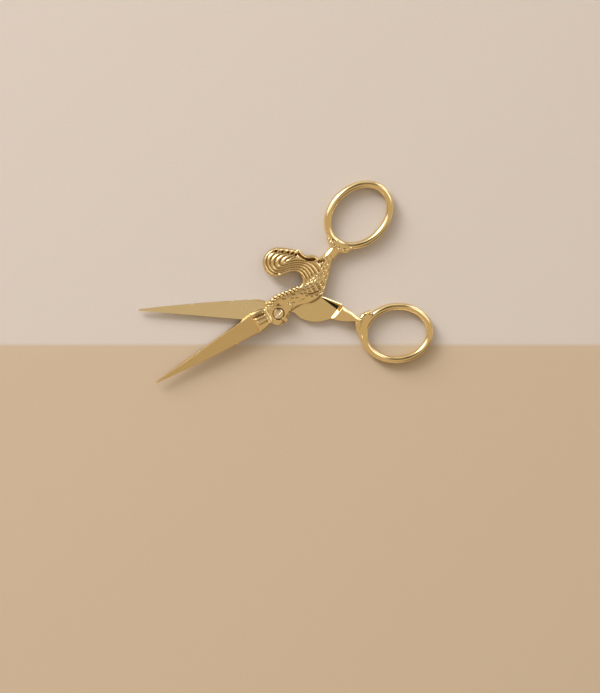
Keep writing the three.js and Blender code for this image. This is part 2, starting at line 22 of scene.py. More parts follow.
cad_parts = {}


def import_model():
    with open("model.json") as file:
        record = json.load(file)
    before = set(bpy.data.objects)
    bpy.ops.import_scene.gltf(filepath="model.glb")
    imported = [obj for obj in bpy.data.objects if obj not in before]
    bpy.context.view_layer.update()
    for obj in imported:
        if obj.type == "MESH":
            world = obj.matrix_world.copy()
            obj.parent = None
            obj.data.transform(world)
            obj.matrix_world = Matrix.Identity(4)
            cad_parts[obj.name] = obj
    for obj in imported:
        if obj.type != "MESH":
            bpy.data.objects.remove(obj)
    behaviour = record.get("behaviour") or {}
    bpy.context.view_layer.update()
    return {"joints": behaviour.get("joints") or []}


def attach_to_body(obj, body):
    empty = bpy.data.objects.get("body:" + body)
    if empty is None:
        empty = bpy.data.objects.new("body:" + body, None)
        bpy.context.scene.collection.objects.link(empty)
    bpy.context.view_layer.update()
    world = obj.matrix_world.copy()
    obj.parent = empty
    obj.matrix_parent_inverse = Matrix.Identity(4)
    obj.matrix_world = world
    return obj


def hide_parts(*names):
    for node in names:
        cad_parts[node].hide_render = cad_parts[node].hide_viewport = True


LOG = logging.getLogger("scissors")
MM = 0.001

Array = np.ndarray
Point = tuple[float, float]
Line = Sequence[Point]
Rungs = Sequence[tuple[float, float, float, float]]
Faces = list[tuple[int, ...]]
Span = tuple[float, float]
Colour = tuple[float, float, float]
Corner = tuple[float, float, float]
Form = tuple[float, float, float]

# Heights of the stack, over the table
LAP_THICKNESS = 1.75
LAP_GAP = 0.1
BACK_FACE = LAP_THICKNESS
FRONT_FACE = BACK_FACE + LAP_GAP
FRONT_TOP = FRONT_FACE + LAP_THICKNESS

# Attribute that says how deep in the relief a point lies; the finish paints shade there on the castings and
# the crest, and bare steel in the screw's slot
PAINTED_SHADE_AND_STEEL = "shade_and_steel_mask"
# Guards a division by nothing
TINY = 1e-9
# Sockets of a Mix node between two colours
MIX_SHARE, MIX_FIRST, MIX_SECOND, MIXED = 0, 6, 7, 2


class Shading(Enum):
    """How the faces of a piece are shaded, by the angle from which an edge is sharp."""

    SMOOTH = math.pi
    GROUND = math.radians(8)


@dataclass(frozen=True)
class HalfFrame:
    """Where one half of the scissors lies.

    Attributes:
        body: Body of the frame that the half moves with.
        node: Solid that the half stands for.
        slot: Material slot of the record; not used.
        face: Height of the lap face over the table.
        outward: +1 where the half's outer side looks up, -1 where it looks down.
        turn: Turn about the pivot from closed to the pose at rest, in radians.
    """

    body: str
    node: str
    slot: str
    face: float
    outward: int
    turn: float

    @property
    def matrix(self) -> Matrix:
        """Closed frame in millimetres to the row frame in metres."""
        return Matrix.Rotation(self.turn, 4, "Z") @ Matrix.Scale(MM, 4)

    def rise(self, points: Array) -> Array:
        """Points whose Z is measured from the lap face outward, with Z measured from the table."""
        return points * (1, 1, self.outward) + (0, 0, self.face)


# Curves and distances in plan


def curve_through(rows: Sequence[Sequence[float]], count: int) -> Array:
    """Points on a smooth curve through rows of numbers.

    Args:
        rows: Rows that the curve passes through, of any equal length.
        count: Number of points on the curve, its ends included.

    Returns:
        An array of count rows.
    """
    data = np.asarray(rows, float)
    place = np.linspace(0, len(data) - 1, count)
    start = np.minimum(place.astype(int), len(data) - 2)
    share = (place - start)[:, None]
    p0, p1, p2, p3 = (data[np.clip(start + k, 0, len(data) - 1)] for k in (-1, 0, 1, 2))
    bend = (2 * p0 - 5 * p1 + 4 * p2 - p3) * share + (3 * (p1 - p2) + p3 - p0) * share**2
    return p1 + 0.5 * share * (p2 - p0 + bend)


def rung_outline(rungs: Rungs, count: int) -> Array:
    """Closed outline of a form between two rails.

    Args:
        rungs: Rungs between the rails, as upper x, upper y, lower x, lower y.
        count: Number of points on each rail.

    Returns:
        The outline's points, the upper rail first.
    """
    rows = curve_through(rungs, count)
    return np.vstack([rows[:, :2], rows[::-1, 2:]])


def smooth_min(a: Array, b: Array, blend: float) -> Array:
    """The lower of two fields, rounded over the given width where they meet."""
    share = np.clip(0.5 + 0.5 * (b - a) / blend, 0, 1)
    return b + (a - b) * share - blend * share * (1 - share)


def smooth_max(a: Array, b: Array, blend: float) -> Array:
    """The higher of two fields, rounded over the given width where they meet."""
    return -smooth_min(-a, -b, blend)


def ramp(value: Array, low: float, high: float) -> Array:
    """0 up to low, 1 from high on, and straight between them."""
    return np.clip((value - low) / (high - low), 0, 1)


@dataclass
class SolidGrid:
    """A box of sample points on which the field of a solid is drawn and then skinned.

    A field is negative inside the solid and close to the distance from its surface.
    """

    low: Corner
    high: Corner
    step: float
    reach: float = 3.0
    x: Array = field(init=False)
    y: Array = field(init=False)
    z: Array = field(init=False)

    def __post_init__(self) -> None:
        """Lays out the sample points: x and y in plan, z as levels over them."""
        axes = [np.arange(a, b + self.step, self.step) for a, b in zip(self.low, self.high)]
        self.x, self.y = np.meshgrid(axes[0], axes[1], indexing="ij")
        self.z = axes[2][None, None, :]

    def _window(self, points: Array) -> tuple[slice, slice]:
        """Part of the plan within reach of the points.

        Args:
            points: Rows of x and y.

        Returns:
            The window's slices along X and Y.
        """
        near = (points.min(0) - self.reach - self.low[:2]) / self.step
        far = (points.max(0) + self.reach - self.low[:2]) / self.step
        first = np.maximum(np.floor(near), 0).astype(int)
        last = np.maximum(np.ceil(far), 1).astype(int)
        return slice(first[0], last[0]), slice(first[1], last[1])

    def line(self, points: Line | Array) -> Array:
        """Distance in plan from an open line, up to the grid's reach."""
        return np.abs(self._distance(np.asarray(points, float), closed=False))

    def outline(self, points: Line | Array) -> Array:
        """Distance in plan from a closed outline, negative inside it."""
        return self._distance(np.asarray(points, float), closed=True)

    def disc(self, centre: Point, radius: float) -> Array:
        """Distance in plan from a round outline, negative inside it."""
        return np.hypot(self.x - centre[0], self.y - centre[1]) - radius

    def _distance(self, points: Array, closed: bool) -> Array:
        """Distance from the stretches of a line, with a sign where the line is closed.

        Args:
            points: Rows of x and y.
            closed: Whether the last point joins the first.

        Returns:
            Distances over the plan, up to the grid's reach.
        """
        window = self._window(points)
        x, y = self.x[window], self.y[window]
        nearest = np.full(x.shape, self.reach**2)
        inside = np.zeros(x.shape, bool)
        ends = np.roll(points, -1, axis=0) if closed else points[1:]
        for (ax, ay), (bx, by) in zip(points, ends):
            dx, dy = bx - ax, by - ay
            share = np.clip(((x - ax) * dx + (y - ay) * dy) / max(dx * dx + dy * dy, TINY), 0, 1)
            nearest = np.minimum(nearest, (x - ax - share * dx) ** 2 + (y - ay - share * dy) ** 2)
            if closed and ay != by:
                inside ^= ((ay > y) != (by > y)) & (x < ax + (y - ay) * dx / dy)
        whole = np.full(self.x.shape, self.reach)
        whole[window] = np.sqrt(nearest) * np.where(inside, -1, 1)
        return whole

    def skin(self, values: Array) -> tuple[Array, Array]:
        """Closed skin of quads over the surface where a field is zero.

        Args:
            values: The field at every sample point.

        Returns:
            The skin's points, and its quads as rows of point numbers that face outward.
        """
        inside = values < 0
        cells = tuple(n - 1 for n in values.shape)
        corners = list(itertools.product((0, 1), repeat=3))

        def corner(samples: Array, shift: Iterable[int]) -> Array:
            """Samples at one corner of every cell."""
            return samples[tuple(slice(s, s + n) for s, n in zip(shift, cells))]

        filled = sum(corner(inside, shift).astype(np.int8) for shift in corners)
        mixed = (filled > 0) & (filled < len(corners))
        number = np.full(cells, -1)
        number[mixed] = np.arange(mixed.sum())
        total, hits = np.zeros((mixed.sum(), 3)), np.zeros(mixed.sum())
        for axis, shift in itertools.product(range(3), corners):
            if shift[axis]:
                continue
            unit = np.eye(3, dtype=int)[axis]
            a, b = corner(values, shift)[mixed], corner(values, shift + unit)[mixed]
            crossed = (a < 0) != (b < 0)
            share = np.where(crossed, a / np.where(crossed, a - b, 1), 0)
            total += crossed[:, None] * (np.array(shift) + share[:, None] * unit)
            hits += crossed
        places = self._settle(values, np.argwhere(mixed) + total / hits[:, None])
        quads = [self._quads(inside, number, axis) for axis in range(3)]
        return places * self.step + self.low, np.vstack(quads)

    @staticmethod
    def _quads(inside: Array, number: Array, axis: int) -> Array:
        """Quads round the grid edges along one axis that pass through the surface.

        Args:
            inside: Which sample points lie in the solid.
            number: Number of the skin's point in each cell.
            axis: Axis of the edges.

        Returns:
            Rows of point numbers that face outward.
        """
        u, v = (i for i in range(3) if i != axis)
        span = [slice(1, -1)] * 3
        span[axis] = slice(None, -1)
        here = inside[tuple(span)]
        span[axis] = slice(1, None)
        change = np.argwhere(here != inside[tuple(span)])
        base = change.copy()
        base[:, [u, v]] += 1
        ring = []
        for du, dv in ((-1, -1), (0, -1), (0, 0), (-1, 0)):
            cell = base.copy()
            cell[:, u] += du
            cell[:, v] += dv
            ring.append(number[tuple(cell.T)])
        quads = np.stack(ring, 1)
        keep = here[tuple(change.T)] ^ (axis == 1)
        return np.where(keep[:, None], quads, quads[:, ::-1])

    @staticmethod
    def _settle(values: Array, places: Array, rounds: int = 3, longest: float = 0.4) -> Array:
        """Moves points, in grid steps, onto the surface along the field's slope.

        Args:
            values: The field at every sample point.
            places: Points near the surface, in grid steps.
            rounds: Number of moves.
            longest: Longest move along an axis.

        Returns:
            The moved points.
        """
        slopes = np.gradient(values)

        def sample(samples: Array) -> Array:
            """Samples between the grid points.

            Args:
                samples: One number for each grid point.

            Returns:
                One number for each place.
            """
            start = np.clip(places.astype(int), 0, np.array(samples.shape) - 2)
            share = places - start
            result = np.zeros(len(places))
            for shift in itertools.product((0, 1), repeat=3):
                weight = np.prod(np.where(shift, share, 1 - share), axis=1)
                result += weight * samples[tuple((start + shift).T)]
            return result

        for _ in range(rounds):
            slope = np.stack([sample(s) for s in slopes], 1)
            steep = np.maximum((slope**2).sum(1), TINY)
            move = slope * (sample(values) / steep)[:, None]
            places = places - np.clip(move, -longest, longest)
        return places


# Relief


@dataclass(frozen=True)
class Cut:
    """A groove or, with a negative depth, a ridge along a line of the relief."""

    line: Line | Array
    width: float
    depth: float
    pit_length: ClassVar[float] = 0.05

    @classmethod
    def pit(cls, place: Point | Array, width: float, depth: float) -> Cut:
        """A round pit at one place."""
        return cls([place, (place[0] + cls.pit_length, place[1])], width, depth)

    def depths(self, grid: SolidGrid) -> Array:
        """Depth of the cut over the plan."""
        return self.depth * np.exp(-((grid.line(self.line) / self.width) ** 2))


def mound(distance: Array, edge: float, crown: Any, flank: float, fall: float = 3.0) -> Array:
    """Height of a rounded form over its outline.

    Args:
        distance: Plan distance from the outline, negative inside.
        edge: Height at the outline.
        crown: Height of the crown, one value or one for each sample point.
        flank: Width of the rounded flank.
        fall: How steeply the height falls away outside the outline.

    Returns:
        Heights over the plan.
    """
    share = np.clip(-distance / flank, 0, 1)
    return edge + (crown - edge) * np.sqrt(1 - (1 - share) ** 2) - fall * np.maximum(distance, 0)


# Meshes


def outward_faces(points: Array, faces: Faces) -> Faces:
    """The faces of a closed skin, turned over if they look inward.

    Args:
        points: Rows of x, y and z.
        faces: Rows of point numbers, all turned the same way.

    Returns:
        Faces that look outward.
    """
    volume = 0.0
    for first, *rest in faces:
        for b, c in zip(rest, rest[1:]):
            volume += np.dot(points[first], np.cross(points[b], points[c]))
    return faces if volume > 0 else [face[::-1] for face in faces]


def loft(sections: Array) -> tuple[Array, Faces]:
    """Closed skin over a row of sections with capped ends.

    Args:
        sections: Points by section, by place round the section, by x, y and z.

    Returns:
        The points and the faces, which look outward.
    """
    rows, count = sections.shape[:2]
    points = sections.reshape(-1, 3)
    faces: Faces = []
    for row, j in itertools.product(range(rows - 1), range(count)):
        k = (j + 1) % count
        here, ahead = row * count, (row + 1) * count
        faces.append((here + j, here + k, ahead + k, ahead + j))
    faces.append(tuple(reversed(range(count))))
    faces.append(tuple(range((rows - 1) * count, rows * count)))
    return points, outward_faces(points, faces)


def linked(name: str, data: bpy.types.ID) -> bpy.types.Object:
    """Object with the given data, linked to the scene.

    Args:
        name: Name of the object.
        data: Mesh, camera or light.

    Returns:
        The object.
    """
    made = bpy.data.objects.new(name, data)
    bpy.context.scene.collection.objects.link(made)
    return made


def new_piece(name: str, points: Array, faces: Any, finish: bpy.types.Material | None) -> bpy.types.Object:
    """Object with a mesh of the given points and faces, in millimetres.

    Args:
        name: Name of the piece.
        points: Rows of x, y and z.
        faces: Rows of point numbers.
        finish: Material of the piece, if it has one already.

    Returns:
        The object, linked to the scene.
    """
    mesh = bpy.data.meshes.new(name)
    mesh.from_pydata(np.asarray(points).tolist(), [], [list(map(int, face)) for face in faces])
    if finish:
        mesh.materials.append(finish)
    return linked(name, mesh)


def settle(piece: bpy.types.Object, matrix: Matrix, shading: Shading) -> bpy.types.Object:
    """Turns a piece's modifiers into plain mesh and puts its place in the mesh.

    Args:
        piece: Object at the origin, in millimetres.
        matrix: Closed frame in millimetres to the row frame in metres.
        shading: How its faces are shaded.

    Returns:
        The same object, with no modifiers left.
    """
    graph = bpy.context.evaluated_depsgraph_get()
    mesh = bpy.data.meshes.new_from_object(piece.evaluated_get(graph), depsgraph=graph)
    piece.modifiers.clear()
    draft, piece.data = piece.data, mesh
    bpy.data.meshes.remove(draft)
    mesh.name = piece.name
    mesh.transform(matrix)
    mesh.shade_smooth()
    if shading is not Shading.SMOOTH:
        mesh.set_sharp_from_angle(angle=shading.value)
    return piece


def break_edges(piece: bpy.types.Object, width: float, angle: float = 20, segments: int = 2) -> None:
    """Rounds the sharp edges of a piece by a width in millimetres.

    Args:
        piece: Object in millimetres.
        width: Width of the rounding.
        angle: Edges under this angle stay, in degrees.
        segments: Number of faces across the rounding.
    """
    bevel = piece.modifiers.new("broken edges", "BEVEL")
    bevel.width = width
    bevel.segments = segments
    bevel.limit_method = "ANGLE"
    bevel.angle_limit = math.radians(angle)
    bevel.harden_normals = False


def paint_shade_and_steel(piece: bpy.types.Object, values: Array) -> None:
    """Stores how deep in the relief each point of a piece lies, from 0 to 1, for painted shade and bare
    steel.
    """
    layer = piece.data.attributes.new(PAINTED_SHADE_AND_STEEL, "FLOAT", "POINT")
    layer.data.foreach_set("value", np.asarray(values, np.float32))


# Node trees


class TreeBuilder:
    """Adds nodes to a node tree and links them."""

    def __init__(self, tree: bpy.types.NodeTree) -> None:
        """Starts on a tree, which is emptied."""
        self.tree = tree
        tree.nodes.clear()

    def add(self, kind: str, inputs: dict[Any, Any] | None = None, **settings: Any) -> bpy.types.Node:
        """Adds one node.

        Args:
            kind: Type of the node.
            inputs: Values by input name or number: a number, a node's first output or a socket.
            settings: Properties of the node.

        Returns:
            The node.
        """
        node = self.tree.nodes.new(kind)
        for name, value in settings.items():
            setattr(node, name, value)
        for key, value in (inputs or {}).items():
            if isinstance(value, bpy.types.Node):
                value = value.outputs[0]
            if isinstance(value, bpy.types.NodeSocket):
                self.tree.links.new(value, node.inputs[key])
            else:
                node.inputs[key].default_value = value
        return node

    def maths(self, operation: str, *values: Any) -> bpy.types.Node:
        """Math node over numbers, nodes or sockets."""
        return self.add("ShaderNodeMath", dict(enumerate(values)), operation=operation)

    def vector(self, operation: str, *values: Any) -> bpy.types.Node:
        """Vector math node over vectors, nodes or sockets."""
        return self.add("ShaderNodeVectorMath", dict(enumerate(values)), operation=operation)

    def dot(self, first: Any, second: Any) -> bpy.types.NodeSocket:
        """Dot product of two vectors."""
        return self.vector("DOT_PRODUCT", first, second).outputs["Value"]

    def scaled(self, vector: Any, factor: Any) -> bpy.types.Node:
        """Vector or colour times a number."""
        return self.add("ShaderNodeVectorMath", {0: vector, "Scale": factor}, operation="SCALE")

    def noise(self, coordinates: Any, scale: float, detail: float) -> bpy.types.Node:
        """Noise texture over the given coordinates."""
        return self.add("ShaderNodeTexNoise", {"Vector": coordinates, "Scale": scale, "Detail": detail})

    def mix(self, share: Any, first: Any, second: Any) -> bpy.types.NodeSocket:
        """Mixes two colours.

        Args:
            share: Share of the second colour.
            first: Colour at share 0, a socket or three numbers.
            second: Colour at share 1, likewise.

        Returns:
            The mixed colour.
        """
        ends = [c if isinstance(c, bpy.types.NodeSocket) else (*c, 1) for c in (first, second)]
        inputs = {MIX_SHARE: share, MIX_FIRST: ends[0], MIX_SECOND: ends[1]}
        return self.add("ShaderNodeMix", inputs, data_type="RGBA").outputs[MIXED]

    def remap(self, value: Any, span: Span, ends: Span = (0.0, 1.0), kind: str = "LINEAR") -> bpy.types.Node:
        """Maps a span of values on another.

        Args:
            value: The value to map.
            span: Where the span begins and ends.
            ends: What its ends become.
            kind: How the values between them are spread.

        Returns:
            The node.
        """
        names = ("Value", "From Min", "From Max", "To Min", "To Max")
        inputs = dict(zip(names, (value, *span, *ends)))
        return self.add("ShaderNodeMapRange", inputs, interpolation_type=kind)


class GeometryTree(TreeBuilder):
    """Node tree that makes a piece from named inputs."""

    def __init__(self, name: str, inputs: dict[str, str]) -> None:
        """Starts a tree.

        Args:
            name: Name of the tree.
            inputs: Kind of socket by the input's name.
        """
        super().__init__(bpy.data.node_groups.new(name, "GeometryNodeTree"))
        sockets = self.tree.interface
        for label, kind in inputs.items():
            sockets.new_socket(name=label, in_out="INPUT", socket_type=f"NodeSocket{kind}")
        sockets.new_socket(name="Geometry", in_out="OUTPUT", socket_type="NodeSocketGeometry")
        self.sizes = self.add("NodeGroupInput").outputs

    def finish(self, made: bpy.types.Node) -> bpy.types.NodeTree:
        """Ends the tree in real geometry with its material.

        Args:
            made: Node that gives the geometry.

        Returns:
            The tree.
        """
        real = self.add("GeometryNodeRealizeInstances", {"Geometry": made})
        dressed = self.add("GeometryNodeSetMaterial", {"Geometry": real, "Material": self.sizes["Finish"]})
        self.add("NodeGroupOutput", {"Geometry": dressed})
        return self.tree


class MaterialTree(TreeBuilder):
    """Node tree of a material over the piece's own coordinates."""

    def __init__(self, name: str) -> None:
        """Starts a material.

        Args:
            name: Name of the material.
        """
        self.material = bpy.data.materials.new(name)
        self.material.use_nodes = True
        super().__init__(self.material.node_tree)
        self.coordinates = self.add("ShaderNodeTexCoord").outputs["Object"]

    def finish(self, shader: bpy.types.Node) -> bpy.types.Material:
        """Ends the tree in the given shader."""
        self.add("ShaderNodeOutputMaterial", {"Surface": shader})
        return self.material


def apply_tree(piece: bpy.types.Object, tree: bpy.types.NodeTree, values: dict[str, Any]) -> None:
    """Puts a node tree on a piece and sets its inputs by their identifiers.

    Args:
        piece: Object that gets the modifier.
        tree: The node tree.
        values: Inputs by name.
    """
    modifier = piece.modifiers.new(tree.name, "NODES")
    modifier.node_group = tree
    for item in tree.interface.items_tree:
        if item.item_type == "SOCKET" and item.in_out == "INPUT" and item.name in values:
            modifier[item.identifier] = values[item.name]


# Finishes


@dataclass(frozen=True)
class GoldFinish:
    """Gold plating, bright or ground.

    Attributes:
        name: Name of the material.
        colour: Linear colour of the plating.
        shade_and_steel_colour: Colour in the hollows of the relief, as a share of the plating's: painted
            shade, bare steel in the slot.
        roughness: Lowest and highest roughness.
        cloud: Patches of roughness and tone per metre.
        grain: Scale of the fine grain along X, Y and Z, per metre.
        depth: Height of the fine grain, in metres.
        turn: Turn of the grain about Z, in radians.
        patch_tone: Tone of the darkest patches, as a share of the plating's.
        patch_span: Strength of the noise at which a patch begins and is full.
        detail: Fineness of the patches and of the grain.
    """

    name: str
    colour: Colour
    # By default this darkens the hollows of the relief as painted shade
    shade_and_steel_colour: Colour = (0.34, 0.24, 0.14)
    roughness: Span = (0.09, 0.17)
    cloud: float = 260.0
    grain: Corner = (2600.0, 2600.0, 2600.0)
    depth: float = 2.0e-6
    turn: float = 0.0
    patch_tone: float = 0.93
    patch_span: Span = (0.3, 0.7)
    detail: Span = (3.0, 2.0)

    def material(self) -> bpy.types.Material:
        """Builds the node material of this finish.

        Returns:
            The material.
        """
        build = MaterialTree(self.name)
        patches = build.noise(build.coordinates, self.cloud, self.detail[0])
        turned = build.add(
            "ShaderNodeMapping",
            {"Vector": build.coordinates, "Rotation": (0, 0, self.turn), "Scale": self.grain},
        )
        lines = build.noise(turned, 1.0, self.detail[1])
        # Where the attribute is 1 the colour turns to the hollow colour: painted shade on the castings and
        # the crest, bare steel in the screw's slot
        shade_and_steel_mask = build.add("ShaderNodeAttribute", attribute_name=PAINTED_SHADE_AND_STEEL).outputs["Fac"]
        tone = build.mix(patches, np.multiply(self.colour, self.patch_tone), self.colour)
        hollow = build.mix(shade_and_steel_mask, tone, np.multiply(self.colour, self.shade_and_steel_colour))
        gloss = build.remap(patches, self.patch_span, self.roughness)
        bump = build.add("ShaderNodeBump", {"Height": lines, "Strength": 1.0, "Distance": self.depth})
        shader = build.add(
            "ShaderNodeBsdfPrincipled",
            {"Base Color": hollow, "Metallic": 1.0, "Roughness": gloss, "Normal": bump},
        )
        return build.finish(shader)


GOLD = (0.95, 0.76, 0.42)
CAST_GOLD = GoldFinish("bright cast gold", GOLD, roughness=(0.05, 0.1))
WIRE_GOLD = GoldFinish("polished wire gold", GOLD, roughness=(0.035, 0.08))
PLATE_GOLD = GoldFinish("mirror plate gold", (0.91, 0.76, 0.445), roughness=(0.03, 0.06), depth=5e-7)
# In the screw's slot the hollow colour turns the gold to bare steel, not to shade
SCREW_GOLD = GoldFinish("pale screw gold", (0.95, 0.80, 0.52), (0.9, 1.06, 1.7), roughness=(0.12, 0.2))
# The blades share one plating: the front's is painted darker as shade, the back's lighter as painted light
LIT_AND_SHADED_BLADE_GOLDS = {
    body: GoldFinish(
        f"ground gold {body}", colour, roughness=(0.2, 0.28), grain=(300.0, 9000.0, 3000.0), depth=1.2e-6
    )
    for body, colour in (("front", (0.83, 0.65, 0.35)), ("back", (0.97, 0.85, 0.57)))
}


# Parts of the scissors


@dataclass
class Blade:
    """One ground blade, its root inside the collar."""

    half: HalfFrame
    name: str
    edge_side: int  # +1 where the upper edge cuts
    length: float = 52.0
    heel: float = 9.6
    rise: float = 4.9
    drop: float = 2.85
    heel_thickness: float = 1.35
    tip_thickness: float = 0.55
    tip_width: float = 0.5
    spine_bulge: float = 0.4
    edge_bevel: float = 0.28
    edge_land: float = 0.12
    root_end: float = 4.2
    root_rise: float = 4.0
    root_drop: float = 1.85
    root_inset: float = 0.08
    root_step: float = 0.02  # share of the root that the first step behind the heel takes
    spine_chamfer: float = 0.5
    bevel_room: float = 4.0  # the bevels shrink where the blade is under this many times their width
    edge_break: float = 0.05
    stations: int = 40
    root_stations: int = 8

    def sections(self) -> Array:
        """Sections from the tip to the root under the collar, with Z from the lap face outward.

        Returns:
            Points by section, by place round the section, by x, y and z.
        """
        s = np.append(np.linspace(0, 1, self.stations), np.ones(self.root_stations))
        sunk = np.append(np.zeros(self.stations), np.linspace(self.root_step, 1, self.root_stations))
        reach = (self.length - self.heel) * s + (self.heel - self.root_end) * sunk
        bulge = 4 * self.spine_bulge * s * (1 - s)
        tip_half = self.tip_width / 2 * (1 - s)
        inset = np.where(sunk > 0, self.root_inset, 0)
        side = self.edge_side
        upper = self.rise * s + tip_half + (0 if side > 0 else bulge)
        upper = upper + (self.root_rise - self.rise) * sunk - inset
        lower = -self.drop * s - tip_half - (bulge if side > 0 else 0)
        lower = lower - (self.root_drop - self.drop) * sunk + inset
        cut, spine = (upper, lower) if side > 0 else (lower, upper)
        thick = self.tip_thickness + (self.heel_thickness - self.tip_thickness) * s
        thick = np.where(sunk > 0, self.tip_thickness, thick)
        bevels = self.edge_bevel + self.spine_chamfer
        share = np.minimum(1, (upper - lower) / (self.bevel_room * bevels))
        flat = np.zeros_like(s)
        corners = [
            (cut, flat),
            (cut, flat + self.edge_land),
            (cut - side * self.edge_bevel * share, thick),
            (spine + side * self.spine_chamfer * share, thick),
            (spine, thick / 2),
            (spine, flat),
        ]
        return np.stack([np.stack([reach - self.length, y, z], 1) for y, z in corners], 1)

    def build(self, finish: bpy.types.Material) -> bpy.types.Object:
        """Makes the blade in the given finish.

        Args:
            finish: Material of the piece.

        Returns:
            The finished piece.
        """
        points, faces = loft(self.half.rise(self.sections()))
        piece = new_piece(self.name, points, faces, finish)
        break_edges(piece, self.edge_break)
        return settle(piece, self.half.matrix, Shading.GROUND)


@dataclass
class Collar:
    """Fluted collar that grips the blade's heel; heights are over the lap face."""

    heel: float = 9.6
    end: float = 3.7
    heel_top: float = 4.9
    heel_bottom: float = 2.85
    end_top: float = 4.1
    end_bottom: float = 1.9
    swell: float = 0.35
    slope: float = 0.9
    edge: float = 1.15
    flank: float = 1.6
    blade_height: float = 0.9
    bead_radius: float = 0.62
    bead_form: Form = (1.1, LAP_THICKNESS + 0.1, 0.62)
    wall_start: float = 0.1  # the wall at the blade begins this far ahead of the heel
    stations: int = 4
    outline_points: int = 24
    flutes: tuple[tuple[Point, Point, float, float], ...] = (
        ((-8.7, 4.05), (-5.2, 3.65), 0.3, 0.16),
        ((-8.8, 3.0), (-4.9, 2.55), 0.42, 0.5),
        ((-8.7, 1.6), (-4.9, 1.3), 0.26, 0.2),
        ((-8.4, -0.15), (-4.9, -0.1), 0.24, 0.14),
    )

    def outline(self, grid: SolidGrid) -> Array:
        """Plan distance of the collar, which narrows from the blade to the bead.

        Args:
            grid: Sample points of the solid.

        Returns:
            Distances over the plan.
        """
        s = np.linspace(0, 1, self.stations)
        swell = 4 * self.swell * s * (1 - s)
        x = -self.heel + (self.heel - self.end) * s
        top = self.heel_top + (self.end_top - self.heel_top) * s + swell
        bottom = -self.heel_bottom - (self.end_bottom - self.heel_bottom) * s - swell
        return grid.outline(rung_outline(np.stack([x, top, x, bottom], 1), self.outline_points))

    def bead(self, grid: SolidGrid) -> Array:
        """Plan distance of the bead behind the collar.

        Args:
            grid: Sample points of the solid.

        Returns:
            Distances over the plan.
        """
        inset = self.bead_radius
        ends = [(-self.end, self.end_top - inset), (-self.end, inset - self.end_bottom)]
        return grid.line(ends) - self.bead_radius

    def height(self, grid: SolidGrid) -> Array:
        """Height of the crowned face, with its sloping wall at the blade.

        Args:
            grid: Sample points of the solid.

        Returns:
            Heights over the lap face.
        """
        face = mound(self.outline(grid), self.edge, LAP_THICKNESS, self.flank)
        foot = -self.heel - self.wall_start
        wall = ramp(grid.x, foot, foot + self.slope)
        return self.blade_height + (face - self.blade_height) * wall

    def cuts(self) -> list[Cut]:
        """The lengthwise flutes."""
        return [Cut([start, end], width, depth) for start, end, width, depth in self.flutes]


@dataclass
class FingerRing:
    """Oval finger ring of round wire, swept by a node tree."""

    half: HalfFrame
    name: str
    centre: Point
    axis: float  # turn of the long diameter, in degrees
    hole_long: float = 23.7
    hole_short: float = 17.8
    wire: float = 2.9
    height: float = 3.0
    path_points: ClassVar[int] = 200
    section_points: ClassVar[int] = 40

    def point(self, angle: float, out: float) -> Point:
        """Point on an oval that stands out from the hole by the given amount.

        Args:
            angle: Angle round the ring, in radians.
            out: Distance out from the hole.

        Returns:
            The point in the closed frame.
        """
        x = (self.hole_long / 2 + out) * math.cos(angle)
        y = (self.hole_short / 2 + out) * math.sin(angle)
        turn = math.radians(self.axis)
        return (
            self.centre[0] + x * math.cos(turn) - y * math.sin(turn),
            self.centre[1] + x * math.sin(turn) + y * math.cos(turn),
        )

    @classmethod
    def tree(cls) -> bpy.types.NodeTree:
        """Node tree that sweeps an oval section round an oval path.

        Returns:
            The tree, which the rings share.
        """
        numbers = dict.fromkeys(("Hole Long", "Hole Short", "Wire", "Height", "Turn"), "Float")
        build = GeometryTree("finger ring", {**numbers, "Centre": "Vector", "Finish": "Material"})
        sizes = build.sizes
        half_wire = build.maths("MULTIPLY", sizes["Wire"], 0.5)
        half_height = build.maths("MULTIPLY", sizes["Height"], 0.5)
        long_radius = build.maths("MULTIPLY_ADD", sizes["Hole Long"], 0.5, half_wire)
        short_radius = build.maths("MULTIPLY_ADD", sizes["Hole Short"], 0.5, half_wire)
        path = cls._oval(build, cls.path_points, long_radius, short_radius)
        upright = build.add("GeometryNodeSetCurveNormal", {"Curve": path}, mode="Z_UP")
        section = cls._oval(build, cls.section_points, half_wire, half_height)
        swept = build.add("GeometryNodeCurveToMesh", {"Curve": upright, "Profile Curve": section})
        turn = build.add("ShaderNodeCombineXYZ", {2: sizes["Turn"]})
        place = {"Geometry": swept, "Translation": sizes["Centre"], "Rotation": turn}
        return build.finish(build.add("GeometryNodeTransform", place))

    @staticmethod
    def _oval(
        build: TreeBuilder, points: int, width: bpy.types.Node, height: bpy.types.Node
    ) -> bpy.types.Node:
        """Oval curve in a node tree.

        Args:
            build: Builder of the tree.
            points: Number of points.
            width: Half the oval along X.
            height: Half the oval along Y.

        Returns:
            Node that gives the curve.
        """
        circle = build.add("GeometryNodeCurvePrimitiveCircle", {"Resolution": points, "Radius": 1.0})
        scale = build.add("ShaderNodeCombineXYZ", {0: width, 1: height, 2: 1.0})
        return build.add("GeometryNodeTransform", {"Geometry": circle, "Scale": scale})

    def build(self, tree: bpy.types.NodeTree, finish: bpy.types.Material) -> bpy.types.Object:
        """Makes the ring with the shared node tree.

        Args:
            tree: Node tree of the rings.
            finish: Material of the piece.

        Returns:
            The finished piece.
        """
        piece = new_piece(self.name, np.zeros((0, 3)), [], None)
        values = {
            "Hole Long": self.hole_long,
            "Hole Short": self.hole_short,
            "Wire": self.wire,
            "Height": self.height,
            "Turn": math.radians(self.axis),
            "Centre": (*self.centre, self.height / 2),
            "Finish": finish,
        }
        apply_tree(piece, tree, values)
        return settle(piece, self.half.matrix, Shading.SMOOTH)


